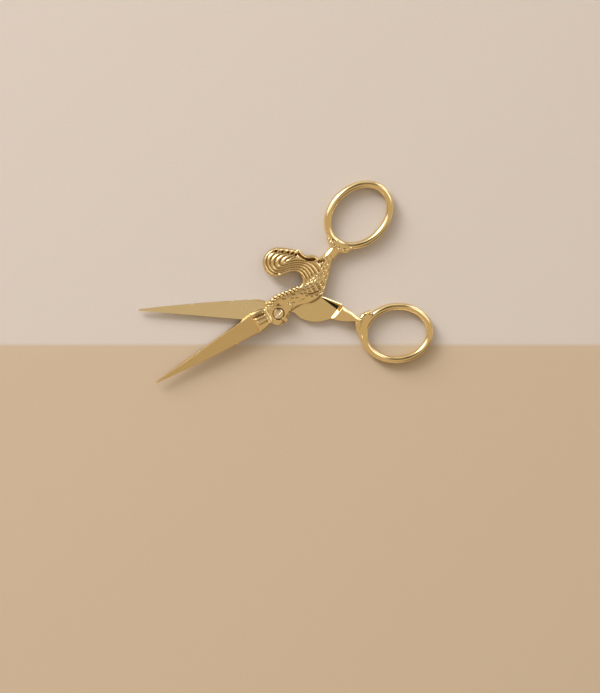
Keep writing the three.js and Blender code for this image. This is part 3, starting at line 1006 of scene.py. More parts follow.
@dataclass
class RopeCrest:
    """Crest of two twisted strands along the bird's neck, wound by a node tree."""

    half: HalfFrame
    line: Line = (
        (-2.5, 4.0), (-1.2, 4.75), (0.6, 5.35), (2.6, 5.6), (5.0, 5.4), (7.6, 5.0), (10.0, 4.65), (12.2, 4.6),
    )
    height: float = 3.0
    strand: float = 0.52
    twist_radius: float = 0.58
    turns: float = 5.0
    end_size: float = 0.4
    # Painted shade between the strands
    gap_shade: Span = (0.55, 0.85)  # from the path, where the dark between the strands ends
    line_points: int = 80
    path_points: ClassVar[int] = 260
    strand_sides: ClassVar[int] = 18
    swell: ClassVar[float] = 4.0  # how fast the strands grow from their ends

    @classmethod
    def tree(cls) -> bpy.types.NodeTree:
        """Node tree that winds two strands round a path.

        Returns:
            The tree.
        """
        numbers = dict.fromkeys(("Strand", "Twist Radius", "Turns", "End Size"), "Float")
        build = GeometryTree("rope crest", {"Path": "Geometry", **numbers, "Finish": "Material"})
        sizes = build.sizes
        path = build.add("GeometryNodeMeshToCurve", {"Mesh": sizes["Path"]})
        even = build.add("GeometryNodeResampleCurve", {"Curve": path, "Count": cls.path_points})
        along = build.add("GeometryNodeSplineParameter").outputs["Factor"]
        arch = build.maths("SINE", build.maths("MULTIPLY", along, math.pi))
        swell = build.maths("MULTIPLY_ADD", arch, cls.swell, sizes["End Size"])
        size = build.maths("MINIMUM", swell, 1.0)
        offset = build.maths("MULTIPLY", size, sizes["Twist Radius"])
        across = build.vector("CROSS_PRODUCT", (0, 0, 1), build.add("GeometryNodeInputTangent"))
        circle = {"Resolution": cls.strand_sides, "Radius": sizes["Strand"]}
        section = build.add("GeometryNodeCurvePrimitiveCircle", circle)
        wound = build.maths("MULTIPLY", along, sizes["Turns"])
        whole = build.add("GeometryNodeJoinGeometry")
        for phase in (0.0, math.pi):
            angle = build.maths("MULTIPLY_ADD", wound, 2 * math.pi, phase)
            sideways = build.maths("MULTIPLY", build.maths("COSINE", angle), offset)
            upward = build.maths("MULTIPLY", build.maths("SINE", angle), offset)
            lift = build.add("ShaderNodeCombineXYZ", {2: upward})
            shift = build.vector("ADD", build.scaled(across, sideways), lift)
            strand = build.add("GeometryNodeSetPosition", {"Geometry": even, "Offset": shift})
            swept = build.add(
                "GeometryNodeCurveToMesh",
                {"Curve": strand, "Profile Curve": section, "Scale": size, "Fill Caps": True},
            )
            build.tree.links.new(swept.outputs[0], whole.inputs[0])
        return build.finish(whole)

    def build(self, finish: bpy.types.Material) -> bpy.types.Object:
        """Makes the crest along its line.

        Args:
            finish: Material of the piece.

        Returns:
            The finished piece.
        """
        path = curve_through(self.line, self.line_points)
        points = np.column_stack([path, np.full(len(path), self.height)])
        piece = new_piece("rope_crest", points, [], None)
        piece.data.edges.add(len(points) - 1)
        ends = np.stack([np.arange(len(points) - 1), np.arange(1, len(points))], 1)
        piece.data.edges.foreach_set("vertices", ends.ravel())
        values = {
            "Strand": self.strand,
            "Twist Radius": self.twist_radius,
            "Turns": self.turns,
            "End Size": self.end_size,
            "Finish": finish,
        }
        apply_tree(piece, self.tree(), values)
        settle(piece, self.half.matrix, Shading.SMOOTH)
        # The crest gets painted shade in the gaps between its strands
        back = self.half.matrix.inverted()
        spots = np.array([back @ vertex.co for vertex in piece.data.vertices])
        away = np.linalg.norm(spots[:, None] - points[None], axis=2).min(1)
        paint_shade_and_steel(piece, 1 - ramp(away, *self.gap_shade))
        return piece


@dataclass
class Shank:
    """Shank that spreads into a flange beside its finger ring, with small beads on the flange."""

    ring: FingerRing
    rungs: Rungs
    turn_side: int  # +1 where the flange runs on round the ring towards larger angles
    flange: float  # how far the flange first stands out from the ring
    pinch: Span  # how far the upper and the lower edge are drawn in at the waist
    facet: float  # width of the flat along its upper edge
    facet_slope: float
    rounding: float
    beads: Line  # degrees round the ring, and how far out from it
    roll: Line = ()  # line of the flange's rolled edge, where it has one
    bead_radius: float = 0.62
    roll_radius: float = 0.75
    roll_level: float = 2.1
    low: float = 0.3
    high: float = 3.35
    web_high: float = 2.9
    waist_share: float = 0.82
    flange_near: float = 10.8
    flange_far: float = 34.0
    flange_spread: float = 7.0
    flange_middle: float = 0.65
    flange_depth: float = 0.9
    hidden: float = 0.02  # how far the ring's core in the casting stays under the ring's skin
    core_spread: float = 3.0  # how far the core runs on past the flange, in spreads
    facet_run: float = 0.5  # how far the facet's plane runs on past its inner edge
    # Widths over which its forms are blended
    facet_blend: float = 0.1
    core_blend: float = 0.3
    roll_blend: float = 0.25
    bead_blend: float = 0.15
    # Points on its curves
    outline_points: int = 80
    facet_points: int = 60
    core_points: int = 40
    roll_points: int = 30

    def flanged_rungs(self) -> Array:
        """Rungs of the shank with its waist and its flange, which ends inside the ring's wire.

        Returns:
            Rows like the given rungs.
        """
        flange = []
        for i, out in enumerate((self.flange, self.flange * self.flange_middle, -self.flange_depth)):
            angles = (self.flange_near - i * self.flange_spread, self.flange_far + i * self.flange_spread)
            ends = [self._beside(angle, out) for angle in angles]
            flange.append(np.ravel(ends[:: self.turn_side]))
        last = np.array(self.rungs[-1])
        waist = last + (flange[0] - last) * self.waist_share
        across = (waist[:2] - waist[2:]) / np.linalg.norm(waist[:2] - waist[2:])
        waist -= np.append(across * self.pinch[0], -across * self.pinch[1])
        return np.array([*self.rungs, waist, *flange])

    def _beside(self, angle: float, out: float) -> Point:
        """Point beside the ring, in degrees round it and in millimetres out from it."""
        return self.ring.point(math.pi + self.turn_side * math.radians(angle), self.ring.wire + out)

    def values(self, grid: SolidGrid, start_low: float, start_high: float) -> Array:
        """Field of the shank, its flange and the ring's core beside it.

        Args:
            grid: Sample points, with Z over the table.
            start_low: Underside of the shank where it leaves the figure.
            start_high: Top of the shank there.

        Returns:
            The field's values.
        """
        rungs = self.flanged_rungs()
        middles = (rungs[:, :2] + rungs[:, 2:]) / 2
        ahead = (middles[-3] - middles[0]) / np.linalg.norm(middles[-3] - middles[0])
        along = (grid.x - middles[0][0]) * ahead[0] + (grid.y - middles[0][1]) * ahead[1]
        places = (middles - middles[0]) @ ahead
        grown, sunk = ramp(along, 0, places[1]), ramp(along, places[-4], places[-2])
        low = start_low + (self.low - start_low) * grown
        high = start_high + (self.high - start_high) * grown + (self.web_high - self.high) * sunk
        plan = grid.outline(rung_outline(rungs, self.outline_points))[:, :, None] + self.rounding
        middle, half = (high + low) / 2, (high - low) / 2
        level = np.abs(grid.z - middle[:, :, None]) - (half - np.minimum(self.rounding, half))[:, :, None]
        outer = np.hypot(np.maximum(plan, 0), np.maximum(level, 0))
        solid = outer + np.minimum(np.maximum(plan, level), 0) - self.rounding
        solid = smooth_max(solid, self._facet(grid, rungs[:-3]), self.facet_blend)
        solid = smooth_min(solid, self._core(grid), self.core_blend)
        if self.roll:
            plan = grid.line(curve_through(self.roll, self.roll_points))[:, :, None]
            edge = np.hypot(plan, grid.z - self.roll_level) - self.roll_radius
            solid = smooth_min(solid, edge, self.roll_blend)
        for bead in self._beads(grid):
            solid = smooth_min(solid, bead, self.bead_blend)
        return solid

    def _facet(self, grid: SolidGrid, rungs: Array) -> Array:
        """Field of the flat along the shank's upper edge.

        Args:
            grid: Sample points of the solid.
            rungs: Rungs up to the waist.

        Returns:
            The field's values.
        """
        inset = grid.line(curve_through(rungs, self.facet_points)[:, :2])
        fall = self.high - self.facet_slope * np.maximum(self.facet - inset, -self.facet_run)
        return (grid.z - fall[:, :, None]) / math.hypot(1, self.facet_slope)

    def _core(self, grid: SolidGrid) -> Array:
        """Field of the ring's wire beside the flange, just under the ring's own skin.

        Args:
            grid: Sample points of the solid.

        Returns:
            The field's values.
        """
        spread = self.core_spread * self.flange_spread
        angles = np.linspace(self.flange_near - spread, self.flange_far + spread, self.core_points)
        arc = [self._beside(angle, -self.ring.wire / 2) for angle in angles]
        level = (grid.z - self.ring.height / 2) * self.ring.wire / self.ring.height
        return np.hypot(grid.line(arc)[:, :, None], level) - self.ring.wire / 2 + self.hidden

    def _beads(self, grid: SolidGrid) -> list[Array]:
        """Fields of the beads on the flange, which are as high as the ring.

        Args:
            grid: Sample points of the solid.

        Returns:
            One field for each bead.
        """
        level = (grid.z - self.ring.height / 2) * 2 * self.bead_radius / self.ring.height
        fields = []
        for angle, out in self.beads:
            plan = grid.disc(self._beside(angle, out), 0)[:, :, None]
            fields.append(np.hypot(plan, level) - self.bead_radius)
        return fields


@dataclass
class Bird:
    """Bird in relief along the front half; heights are over the lap face."""

    body_rungs: Rungs = (
        (-3.2, 4.1, -3.0, -1.9),
        (0.0, 5.4, 1.5, -3.2),
        (4.0, 5.7, 5.2, -1.9),
        (9.0, 5.0, 8.6, -1.9),
        (13.0, 4.8, 12.8, -3.1),
        (16.5, 5.4, 17.0, -3.0),
        (20.3, 7.2, 19.7, -1.2),
        (23.4, 10.2, 23.0, 2.3),
        (26.2, 10.6, 26.2, 5.9),
    )
    tail_rungs: Rungs = (
        (14.6, 4.5, 23.2, 5.2),
        (14.5, 7.2, 23.5, 9.4),
        (14.2, 9.2, 22.5, 12.3),
        (13.0, 10.8, 19.6, 13.9),
        (10.5, 11.6, 18.0, 16.6),
        (7.6, 12.0, 14.5, 19.8),
        (5.4, 12.8, 10.5, 22.2),
        (4.0, 14.2, 7.0, 22.0),
        (3.3, 16.0, 4.4, 20.4),
        (3.2, 17.0, 3.4, 18.4),
    )
    # Grooves between the tail's feathers: the first, the middle and the last
    outer_groove: Line = (
        (15.6, 5.2), (15.7, 7.4), (15.3, 9.5), (14.2, 11.1), (12.0, 12.2), (9.0, 12.9), (6.3, 13.7),
        (5.0, 15.2), (4.6, 17.2), (5.0, 19.1), (6.3, 20.6), (8.4, 21.3), (10.2, 20.95),
    )
    middle_groove: Line = (
        (18.0, 5.4), (18.1, 7.9), (17.5, 10.1), (16.0, 12.0), (13.3, 13.4), (10.4, 14.1), (8.3, 14.8),
        (7.3, 15.8), (7.4, 17.1), (8.4, 18.2), (10.0, 18.8), (12.0, 18.85), (14.0, 18.3),
    )
    inner_groove: Line = (
        (21.1, 5.4), (20.8, 8.2), (19.9, 10.4), (18.0, 12.6), (15.7, 14.1), (13.5, 14.9), (12.1, 15.3),
        (11.5, 15.75), (12.1, 16.15), (13.5, 16.3), (14.5, 16.3), (15.4, 16.25), (16.3, 16.2),
    )
    groove_count: int = 5
    groove_rounding: float = 0.1
    feather_height: float = 0.55
    feather_tips: Line = ((10.9, 21.25), (12.6, 20.1), (14.3, 19.0), (15.8, 17.9), (17.0, 16.8))
    feather_tip_radius: float = 0.95
    saddle_rim: Line = (
        (17.6, 17.0), (18.0, 16.0), (18.2, 14.9), (19.0, 13.7), (20.3, 13.0), (21.5, 12.5), (22.1, 11.8),
        (22.5, 10.8), (23.4, 10.3), (24.6, 10.1),
    )
    saddle_groove: Line = ((17.3, 16.0), (17.6, 14.9), (18.3, 13.4), (19.3, 12.3), (20.5, 11.7), (21.6, 11.3))
    saddle_pits: Line = ((22.6, 9.6), (23.6, 9.15), (24.6, 8.8))
    lip: Line = (
        (10.8, 4.2), (12.3, 4.3), (13.6, 4.9), (14.6, 6.0), (15.05, 7.4), (15.0, 8.6), (14.6, 9.9),
        (13.8, 11.0), (12.3, 11.9), (10.2, 12.35), (7.6, 12.75),
    )
    lip_radius: float = 0.75
    saddle_radius: float = 0.75
    head_radius: float = 4.4
    wattle: Line = ((1.0, -2.6), (1.4, -3.65))
    wattle_radius: float = 1.0
    body_edge: float = 1.0
    body_rim: float = 0.9
    body_crown: float = 2.05
    body_flank: float = 3.0
    neck_share: float = 0.8  # the crown at the head, as a share of the breast's
    breast: Span = (0.0, 12.0)  # where the crown grows to the breast, along X
    rump: Span = (18.0, 26.0)  # where it falls to the shank
    rump_fall: float = 0.3
    # Height at the outline, height of the crown and width of the flank
    head_form: Form = (0.9, LAP_THICKNESS, 2.6)
    forms: tuple[tuple[str, Form], ...] = (
        ("tail", (0.95, 1.6, 2.4)),
        ("wattle", (0.8, 1.6, 1.2)),
        ("lip", (0.9, 1.7, 0.75)),
        ("rim", (1.0, 1.95, 0.75)),
        ("tips", (1.0, 1.9, 0.9)),
    )
    # Lines of the head, the cheek and the breast
    head_cuts: tuple[Cut, ...] = (
        Cut(((-3.0, 3.2), (-2.9, 0.0), (-3.1, -1.6)), 0.22, 0.08),
        Cut(((0.1, -2.7), (0.4, -3.5), (0.8, -4.4)), 0.2, 0.3),
        Cut(((2.2, -2.7), (2.45, -3.4)), 0.2, 0.25),
        Cut(((4.9, 1.5), (5.3, 0.8), (5.2, -0.2), (4.7, -0.9)), 0.3, -0.22),
        Cut(((5.9, 1.2), (6.1, 0.2), (5.9, -0.7)), 0.25, 0.16),
        Cut(((13.4, 0.95), (15.0, 0.35), (17.6, -0.1)), 0.24, 0.34),
    )
    # Width and depth of the other cuts
    saddle_cut: Span = (0.28, 0.3)
    saddle_end_cut: Span = (0.34, 0.6)
    groove_end_cut: Span = (0.42, 0.6)
    pit_cut: Span = (0.36, 0.6)
    neck_cut: Span = (0.2, 0.08)
    wing_cut: Span = (0.18, 0.15)
    rump_cut: Span = (0.2, 0.13)
    neck_starts: Line = (
        (4.3, 4.1), (7.0, 2.9), (8.2, 3.9), (8.6, 2.2), (9.0, 0.4), (10.4, 0.5), (11.6, 2.4), (6.6, 1.2),
    )
    neck_stroke: Point = (1.0, -0.35)
    wing_centre: Point = (17.6, 6.0)
    wing_rows: tuple[float, ...] = (1.7, 2.6, 3.5, 4.4, 5.3, 6.2, 7.1)
    wing_arc: Span = (205.0, 318.0)
    wing_pitch: float = 2.0
    wing_stroke: float = 0.55  # share of the pitch
    wing_points: int = 4
    rump_start: Point = (22.0, 2.6)
    rump_way: Point = (0.76, 0.65)
    rump_grid: tuple[int, int] = (4, 4)
    rump_row: float = 1.15
    rump_pitch: float = 2.3
    rump_stroke: Point = (1.0, 0.12)
    # Points on its curves
    body_points: int = 80
    tail_points: int = 90
    groove_points: int = 90
    rim_points: int = 40
    lip_points: int = 30

    def grooves(self) -> list[Array]:
        """Lines between the tail's feathers, spread over the three that are given.

        Returns:
            Rows of x and y for each line.
        """
        given = (self.outer_groove, self.middle_groove, self.inner_groove)
        first, middle, last = (curve_through(groove, self.groove_points) for groove in given)
        lines = []
        for s in np.linspace(0, 1, self.groove_count):
            weights = ((1 - s) * (1 - 2 * s), 4 * s * (1 - s), s * (2 * s - 1))
            lines.append(weights[0] * first + weights[1] * middle + weights[2] * last)
        return lines

    def outlines(self, grid: SolidGrid) -> dict[str, Array]:
        """Plan distances of the forms that make up the figure.

        Args:
            grid: Sample points of the solid.

        Returns:
            Distances over the plan by the form's name.
        """
        tips = [grid.disc(tip, self.feather_tip_radius) for tip in self.feather_tips]
        return {
            "body": grid.outline(rung_outline(self.body_rungs, self.body_points)),
            "tail": grid.outline(rung_outline(self.tail_rungs, self.tail_points)),
            "head": grid.disc((0, 0), self.head_radius),
            "wattle": grid.line(self.wattle) - self.wattle_radius,
            "lip": grid.line(curve_through(self.lip, self.lip_points)) - self.lip_radius,
            "rim": grid.line(curve_through(self.saddle_rim, self.rim_points)) - self.saddle_radius,
            "tips": np.minimum.reduce(tips),
        }

    def feathers(self, grid: SolidGrid, tail: Array) -> Array:
        """How high each point lies between two grooves of the tail, from 0 to 1.

        Args:
            grid: Sample points of the solid.
            tail: Plan distance of the tail.

        Returns:
            Shares over the plan.
        """
        distances = [grid.line(line) for line in self.grooves()]
        distances += [np.abs(tail), grid.line(curve_through(self.saddle_groove, self.rim_points))]
        first, second = np.sort(np.stack(distances), axis=0)[:2]
        share = 2 * np.hypot(first, self.groove_rounding) / np.maximum(first + second, TINY)
        return np.sin(np.clip(share, 0, 1) * math.pi / 2)

    def cuts(self) -> list[Cut]:
        """Grooves and ridges of the head, the wing, the rump and the saddle.

        Returns:
            The cuts.
        """
        saddle = curve_through(self.saddle_groove, self.rim_points)
        found = [Cut(saddle, *self.saddle_cut), Cut(saddle[self.rim_points // 2:], *self.saddle_end_cut)]
        found += [Cut.pit(line[-1], *self.groove_end_cut) for line in self.grooves()]
        found += [Cut.pit(pit, *self.pit_cut) for pit in self.saddle_pits]
        found += self.head_cuts
        found += [Cut(stroke, *self.neck_cut) for stroke in self.neck_marks()]
        found += [Cut(stroke, *self.wing_cut) for stroke in self.wing_marks()]
        found += [Cut(stroke, *self.rump_cut) for stroke in self.rump_marks()]
        return found

    def neck_marks(self) -> list[Line]:
        """Faint feather strokes on the neck."""
        along, up = self.neck_stroke
        return [((x, y), (x + along, y + up)) for x, y in self.neck_starts]

    def wing_marks(self) -> list[Line]:
        """Rows of short strokes on arcs under the tail, each row shifted by half a stroke.

        Returns:
            A line for each stroke.
        """
        marks = []
        (x, y), (start, end) = self.wing_centre, np.radians(self.wing_arc)
        for row, radius in enumerate(self.wing_rows):
            pitch = self.wing_pitch / radius
            angle = start + (row % 2) * pitch / 2
            while angle < end:
                sweep = np.linspace(angle, angle + self.wing_stroke * pitch, self.wing_points)
                marks.append([(x + radius * math.cos(a), y + radius * math.sin(a)) for a in sweep])
                angle += pitch
        return marks

    def rump_marks(self) -> list[Line]:
        """Slanting strokes from the rump on to the shank.

        Returns:
            A line for each stroke.
        """
        marks = []
        ahead = np.array(self.rump_way)
        across = np.array((-ahead[1], ahead[0]))
        for row, column in itertools.product(*map(range, self.rump_grid)):
            along = self.rump_pitch * (column + (row % 2) / 2)
            start = np.array(self.rump_start) + across * self.rump_row * row + ahead * along
            marks.append([start, start + self.rump_stroke[0] * ahead + self.rump_stroke[1] * across])
        return marks


@dataclass
class FrontCasting:
    """Collar, bird and shank of the front half, cast in one round the screw's seat."""

    half: HalfFrame
    ring: FingerRing
    bird: Bird = field(default_factory=Bird)
    collar: Collar = field(default_factory=Collar)
    shank_rungs: Rungs = (
        (22.6, 11.0, 24.9, 4.9),
        (23.8, 10.6, 25.6, 5.2),
        (26.4, 10.9, 27.2, 6.8),
    )
    flange_pits: Line = ((31.0, 12.0), (31.4, 13.5), (33.7, 9.0), (34.2, 8.7), (32.3, 10.4))
    step: float = 0.136
    lap_relief: float = 0.05  # how far the cast lap face lies over the ground one
    counterbore: float = 2.25
    bore: float = 1.3
    seat: float = 0.9  # floor of the counterbore over the lap face
    seat_rim: Form = (2.75, 0.4, 0.02)  # radius, width and height of the faint rim round the screw
    seat_shade: float = 0.12  # how far the seat's dark reaches out over its edge
    # Corners of the box of sample points
    low: Corner = (-9.95, -5.3, 0.0)
    high: Corner = (40.6, 23.0, 4.4)
    plume_edge: Span = (-0.1, 0.3)  # where the feathers fade in, from the tail's outline
    plume_foot: Span = (3.6, 6.4)  # and up from the body, along Y
    feather_level: float = 0.6
    feather_shade: Span = (1.4, 0.15)  # how fast the grooves darken, and how late
    pit_cut: Span = (0.3, 0.35)
    carved_from: Span = (0.3, 0.9)  # heights over the lap face between which the cuts set in
    # Painted shade in the cuts and the hollows
    cut_shade_depth: float = 0.3  # a cut of this depth is fully dark
    painted_from: float = 0.5  # height over the lap face from which the hollows are dark
    # Widths over which its forms are blended
    head_blend: float = 0.4
    form_blend: float = 0.25
    shank_blend: float = 0.4
    bead_blend: float = 0.3
    plan_blend: float = 0.35
    edge_blend: float = 0.2
    crisp_blend: float = 0.06
    steepest: float = 9.0  # square of the steepest slope that the field allows for
    last_cell: float = 1.001  # keeps a place on the plan's far edge inside its last cell

    def build(self, finish: bpy.types.Material) -> bpy.types.Object:
        """Makes the casting.

        Args:
            finish: Material of the piece.

        Returns:
            The finished piece.
        """
        bird = self.bird
        grid = SolidGrid(self.low, self.high, self.step)
        outlines = bird.outlines(grid)
        height = self._height(grid, outlines)
        feathers = bird.feathers(grid, outlines["tail"])
        plumed = ramp(-outlines["tail"], *self.plume_edge) * ramp(grid.y, *self.plume_foot)
        height += bird.feather_height * (feathers - self.feather_level) * plumed
        pits = [Cut.pit(pit, *self.pit_cut) for pit in self.flange_pits]
        depths = [cut.depths(grid) for cut in bird.cuts() + self.collar.cuts() + pits]
        carved = np.maximum.reduce(depths) + np.minimum.reduce(depths)
        values = self._figure(grid, outlines, height)
        shank = Shank(
            self.ring, self.shank_rungs, turn_side=1, flange=1.6, pinch=(0.0, 1.1), facet=0.75,
            facet_slope=0.95, rounding=0.9, beads=((9.0, 1.0), (3.6, 0.42), (-2.4, 0.1)), high=3.2,
            web_high=3.05,
        )
        joined = shank.values(grid, FRONT_FACE, FRONT_FACE + bird.body_edge)
        values = smooth_min(values, joined, self.shank_blend)
        start, full = self.carved_from
        values += carved[:, :, None] * ramp(grid.z, FRONT_FACE + start, FRONT_FACE + full)
        points, quads = grid.skin(self._drilled(grid, values))
        piece = new_piece("bird_casting", points, quads, finish)
        # Painted shade: darkens the cuts, the feathers' grooves and the ring round the screw's seat
        gain, late = self.feather_shade
        grooved = np.clip(gain * (1 - feathers) - late, 0, 1) * plumed
        radius = np.hypot(grid.x, grid.y)
        seat = ramp(-radius, -self.counterbore - self.seat_shade, -self.counterbore)
        hollow = np.maximum.reduce([ramp(carved, 0, self.cut_shade_depth), grooved, seat])
        paint_shade_and_steel(piece, self._over(grid, hollow, points))
        return settle(piece, self.half.matrix, Shading.SMOOTH)

    def _height(self, grid: SolidGrid, outlines: dict[str, Array]) -> Array:
        """Height of the bird and the collar over the lap face.

        Args:
            grid: Sample points of the solid.
            outlines: Plan distances of the bird's forms.

        Returns:
            Heights over the plan.
        """
        bird = self.bird
        swell = bird.neck_share + (1 - bird.neck_share) * ramp(grid.x, *bird.breast)
        crown = bird.body_crown * (swell - bird.rump_fall * ramp(grid.x, *bird.rump))
        body = mound(outlines["body"], bird.body_rim, crown, bird.body_flank)
        height = smooth_max(body, mound(outlines["head"], *bird.head_form), self.head_blend)
        forms = [mound(outlines[name], *form) for name, form in bird.forms]
        forms += [mound(self.collar.bead(grid), *self.collar.bead_form), self.collar.height(grid)]
        for form in forms:
            height = smooth_max(height, form, self.form_blend)
        radius, width, rise = self.seat_rim
        return height + rise * np.exp(-(((np.hypot(grid.x, grid.y) - radius) / width) ** 2))

    def _figure(self, grid: SolidGrid, outlines: dict[str, Array], height: Array) -> Array:
        """Field of the figure between the lap face and its relief.

        Args:
            grid: Sample points of the solid.
            outlines: Plan distances of the bird's forms.
            height: Height of the relief.

        Returns:
            The field's values.
        """
        plan = smooth_min(self.collar.outline(grid), self.collar.bead(grid), self.bead_blend)
        for outline in outlines.values():
            plan = smooth_min(plan, outline, self.plan_blend)
        slopes = np.gradient(height, self.step)
        steep = np.sqrt(1 + np.clip(slopes[0] ** 2 + slopes[1] ** 2, 0, self.steepest))[:, :, None]
        top = (grid.z - FRONT_FACE - height[:, :, None]) / steep
        lap = FRONT_FACE + self.lap_relief - grid.z
        figure = smooth_max(top, plan[:, :, None], self.edge_blend)
        return smooth_max(figure, lap, self.crisp_blend)

    def _drilled(self, grid: SolidGrid, values: Array) -> Array:
        """The field with the screw's bore and counterbore cut out of it.

        Args:
            grid: Sample points of the solid.
            values: The field before.

        Returns:
            The field's values.
        """
        radius = np.hypot(grid.x, grid.y)[:, :, None]
        sunk = np.maximum(radius - self.counterbore, FRONT_FACE + self.seat - grid.z)
        hole = np.minimum(radius - self.bore, sunk)
        return smooth_max(values, -hole, self.crisp_blend)

    def _over(self, grid: SolidGrid, plan: Array, points: Array) -> Array:
        """Values of a plan map under each point, and 0 on the lap side.

        Args:
            grid: Sample points of the solid.
            plan: Map over the plan.
            points: Rows of x, y and z.

        Returns:
            One value for each point.
        """
        furthest = np.array(plan.shape) - self.last_cell
        place = np.clip((points[:, :2] - grid.low[:2]) / self.step, 0, furthest)
        i, j = place.astype(int).T
        u, v = (place % 1).T
        near = plan[i, j] * (1 - v) + plan[i, j + 1] * v
        far = plan[i + 1, j] * (1 - v) + plan[i + 1, j + 1] * v
        return (near * (1 - u) + far * u) * (points[:, 2] > FRONT_FACE + self.painted_from)


@dataclass
class BackCasting:
    """Collar, hub and shank of the back half, cast in one; the collar's flutes look down."""

    half: HalfFrame
    ring: FingerRing
    collar: Collar = field(default_factory=Collar)
    shank_rungs: Rungs = (
        (23.7, 4.1, 19.9, -1.35),
        (25.3, 3.35, 21.5, -1.6),
        (26.6, 2.4, 23.2, -2.15),
        (29.2, 1.05, 26.6, -2.5),
    )
    flange_roll: Line = ((31.1, -3.1), (31.5, -4.6), (31.9, -6.0), (32.7, -7.6), (33.7, -9.4), (34.8, -11.2))
    lap_relief: float = 0.05  # how far the cast lap face lies under the ground one
    step: float = 0.13
    hub_radius: float = 3.9
    bore: float = 1.3
    step_line: tuple[Point, Point] = ((20.75, -1.4), (24.5, 3.75))  # foot of the sloping wall at the plate
    step_run: float = 0.8  # how far back the wall leans
    # Corners of the box of sample points
    low: Corner = (-9.95, -15.0, -0.4)
    high: Corner = (42.0, 5.6, 3.9)
    hub_form: Form = (1.2, LAP_THICKNESS, 0.8)
    # Widths over which its forms are blended
    hub_blend: float = 0.25
    plan_blend: float = 0.35
    edge_blend: float = 0.2
    crisp_blend: float = 0.06
    wall_blend: float = 0.08
    shank_blend: float = 0.1

    def build(self, finish: bpy.types.Material) -> bpy.types.Object:
        """Makes the casting.

        Args:
            finish: Material of the piece.

        Returns:
            The finished piece.
        """
        grid = SolidGrid(self.low, self.high, self.step)
        values = smooth_min(self._heel(grid), self._shank(grid), self.shank_blend)
        points, quads = grid.skin(values)
        piece = new_piece("back_casting", points, quads, finish)
        return settle(piece, self.half.matrix, Shading.SMOOTH)

    def _heel(self, grid: SolidGrid) -> Array:
        """Field of the collar and the hub, which hang from the lap face.

        Args:
            grid: Sample points of the solid.

        Returns:
            The field's values.
        """
        hub = grid.disc((0, 0), self.hub_radius)
        height = smooth_max(self.collar.height(grid), mound(hub, *self.hub_form), self.hub_blend)
        carved = np.maximum.reduce([cut.depths(grid) for cut in self.collar.cuts()])
        plan = smooth_min(self.collar.outline(grid), hub, self.plan_blend)[:, :, None]
        bottom = BACK_FACE - grid.z - (height - carved)[:, :, None]
        lap = grid.z - BACK_FACE + self.lap_relief
        solid = smooth_max(smooth_max(bottom, plan, self.edge_blend), lap, self.crisp_blend)
        radius = np.hypot(grid.x, grid.y)[:, :, None]
        return smooth_max(solid, self.bore - radius, self.crisp_blend)

    def _shank(self, grid: SolidGrid) -> Array:
        """Field of the shank, with the sloping wall that rises from the plate.

        Args:
            grid: Sample points of the solid.

        Returns:
            The field's values.
        """
        shank = Shank(
            self.ring, self.shank_rungs, turn_side=-1, flange=2.4, pinch=(1.5, 1.9), facet=0.95,
            facet_slope=0.7, rounding=1.2, beads=((38.5, 1.3), (43.0, 0.8)), roll=self.flange_roll,
        )
        values = shank.values(grid, shank.low, shank.high)
        (ax, ay), (bx, by) = self.step_line
        past = (grid.x - ax) * (by - ay) - (grid.y - ay) * (bx - ax)
        past = past[:, :, None] / math.hypot(bx - ax, by - ay)
        rise = (shank.high - BACK_FACE) / self.step_run
        wall = (grid.z - BACK_FACE - rise * past) / math.hypot(1, rise)
        return smooth_max(values, np.maximum(wall, -past), self.wall_blend)


@dataclass
class LeafPlate:
    """Leaf-shaped lap plate of the back half, polished flat, with a hollow that widens to the shank."""

    half: HalfFrame
    rungs: Rungs = (
        (2.0, 3.6, 2.0, -2.4),
        (6.0, 5.3, 5.6, 0.6),
        (10.0, 6.5, 8.8, -1.5),
        (13.8, 7.0, 12.0, -2.6),
        (17.3, 6.7, 15.2, -2.9),
        (21.0, 5.5, 18.4, -2.3),
        (25.0, 4.05, 22.0, -1.3),
    )
    edge: float = 1.0
    rim: float = 0.36
    hollow_from: float = 0.62  # share of the plate's length at which the hollow begins
    hollow_start: float = 0.03
    hollow_end: float = 2.4
    hollow_slope: float = 0.4
    rim_fall: float = 0.25  # the rim slopes down to the outside by this much
    rim_crest: float = 0.9  # share of the rim's width and fall at its crest
    edge_break: float = 0.05
    stations: int = 60
    under_points: int = 33

    def build(self, finish: bpy.types.Material) -> bpy.types.Object:
        """Makes the plate.

        Args:
            finish: Material of the piece.

        Returns:
            The finished piece.
        """
        rows = curve_through(self.rungs, self.stations)
        t = np.linspace(0, 1, self.stations)
        width = np.hypot(rows[:, 0] - rows[:, 2], rows[:, 1] - rows[:, 3])
        level = np.full_like(t, BACK_FACE)
        rim, wall = self.rim / width, (self.rim + 2 * self.edge_break) / width
        reach = self.hollow_start + self.hollow_end * ramp(t, self.hollow_from, 1)
        ring = [
            (np.zeros_like(t), level - self.rim_fall),
            (self.rim_crest * rim, level - (1 - self.rim_crest) * self.rim_fall),
            (rim, level),
            (wall, level - self.hollow_slope * reach),
            (wall + reach / width, level),
            (1 - self.edge_break / width, level),
            (np.ones_like(t), level - self.edge_break),
        ]
        for s in np.linspace(0, math.pi, self.under_points):
            share = np.full_like(t, (1 + math.cos(s)) / 2)
            ring.append((share, (level - self.edge) * (1 - math.sqrt(max(math.sin(s), 0)))))
        sections = []
        for share, z in ring:
            plan = rows[:, :2] + (rows[:, 2:] - rows[:, :2]) * share[:, None]
            sections.append(np.column_stack([plan, z]))
        points, faces = loft(np.stack(sections, 1))
        piece = new_piece("leaf_plate", points, faces, finish)
        return settle(piece, self.half.matrix, Shading.GROUND)


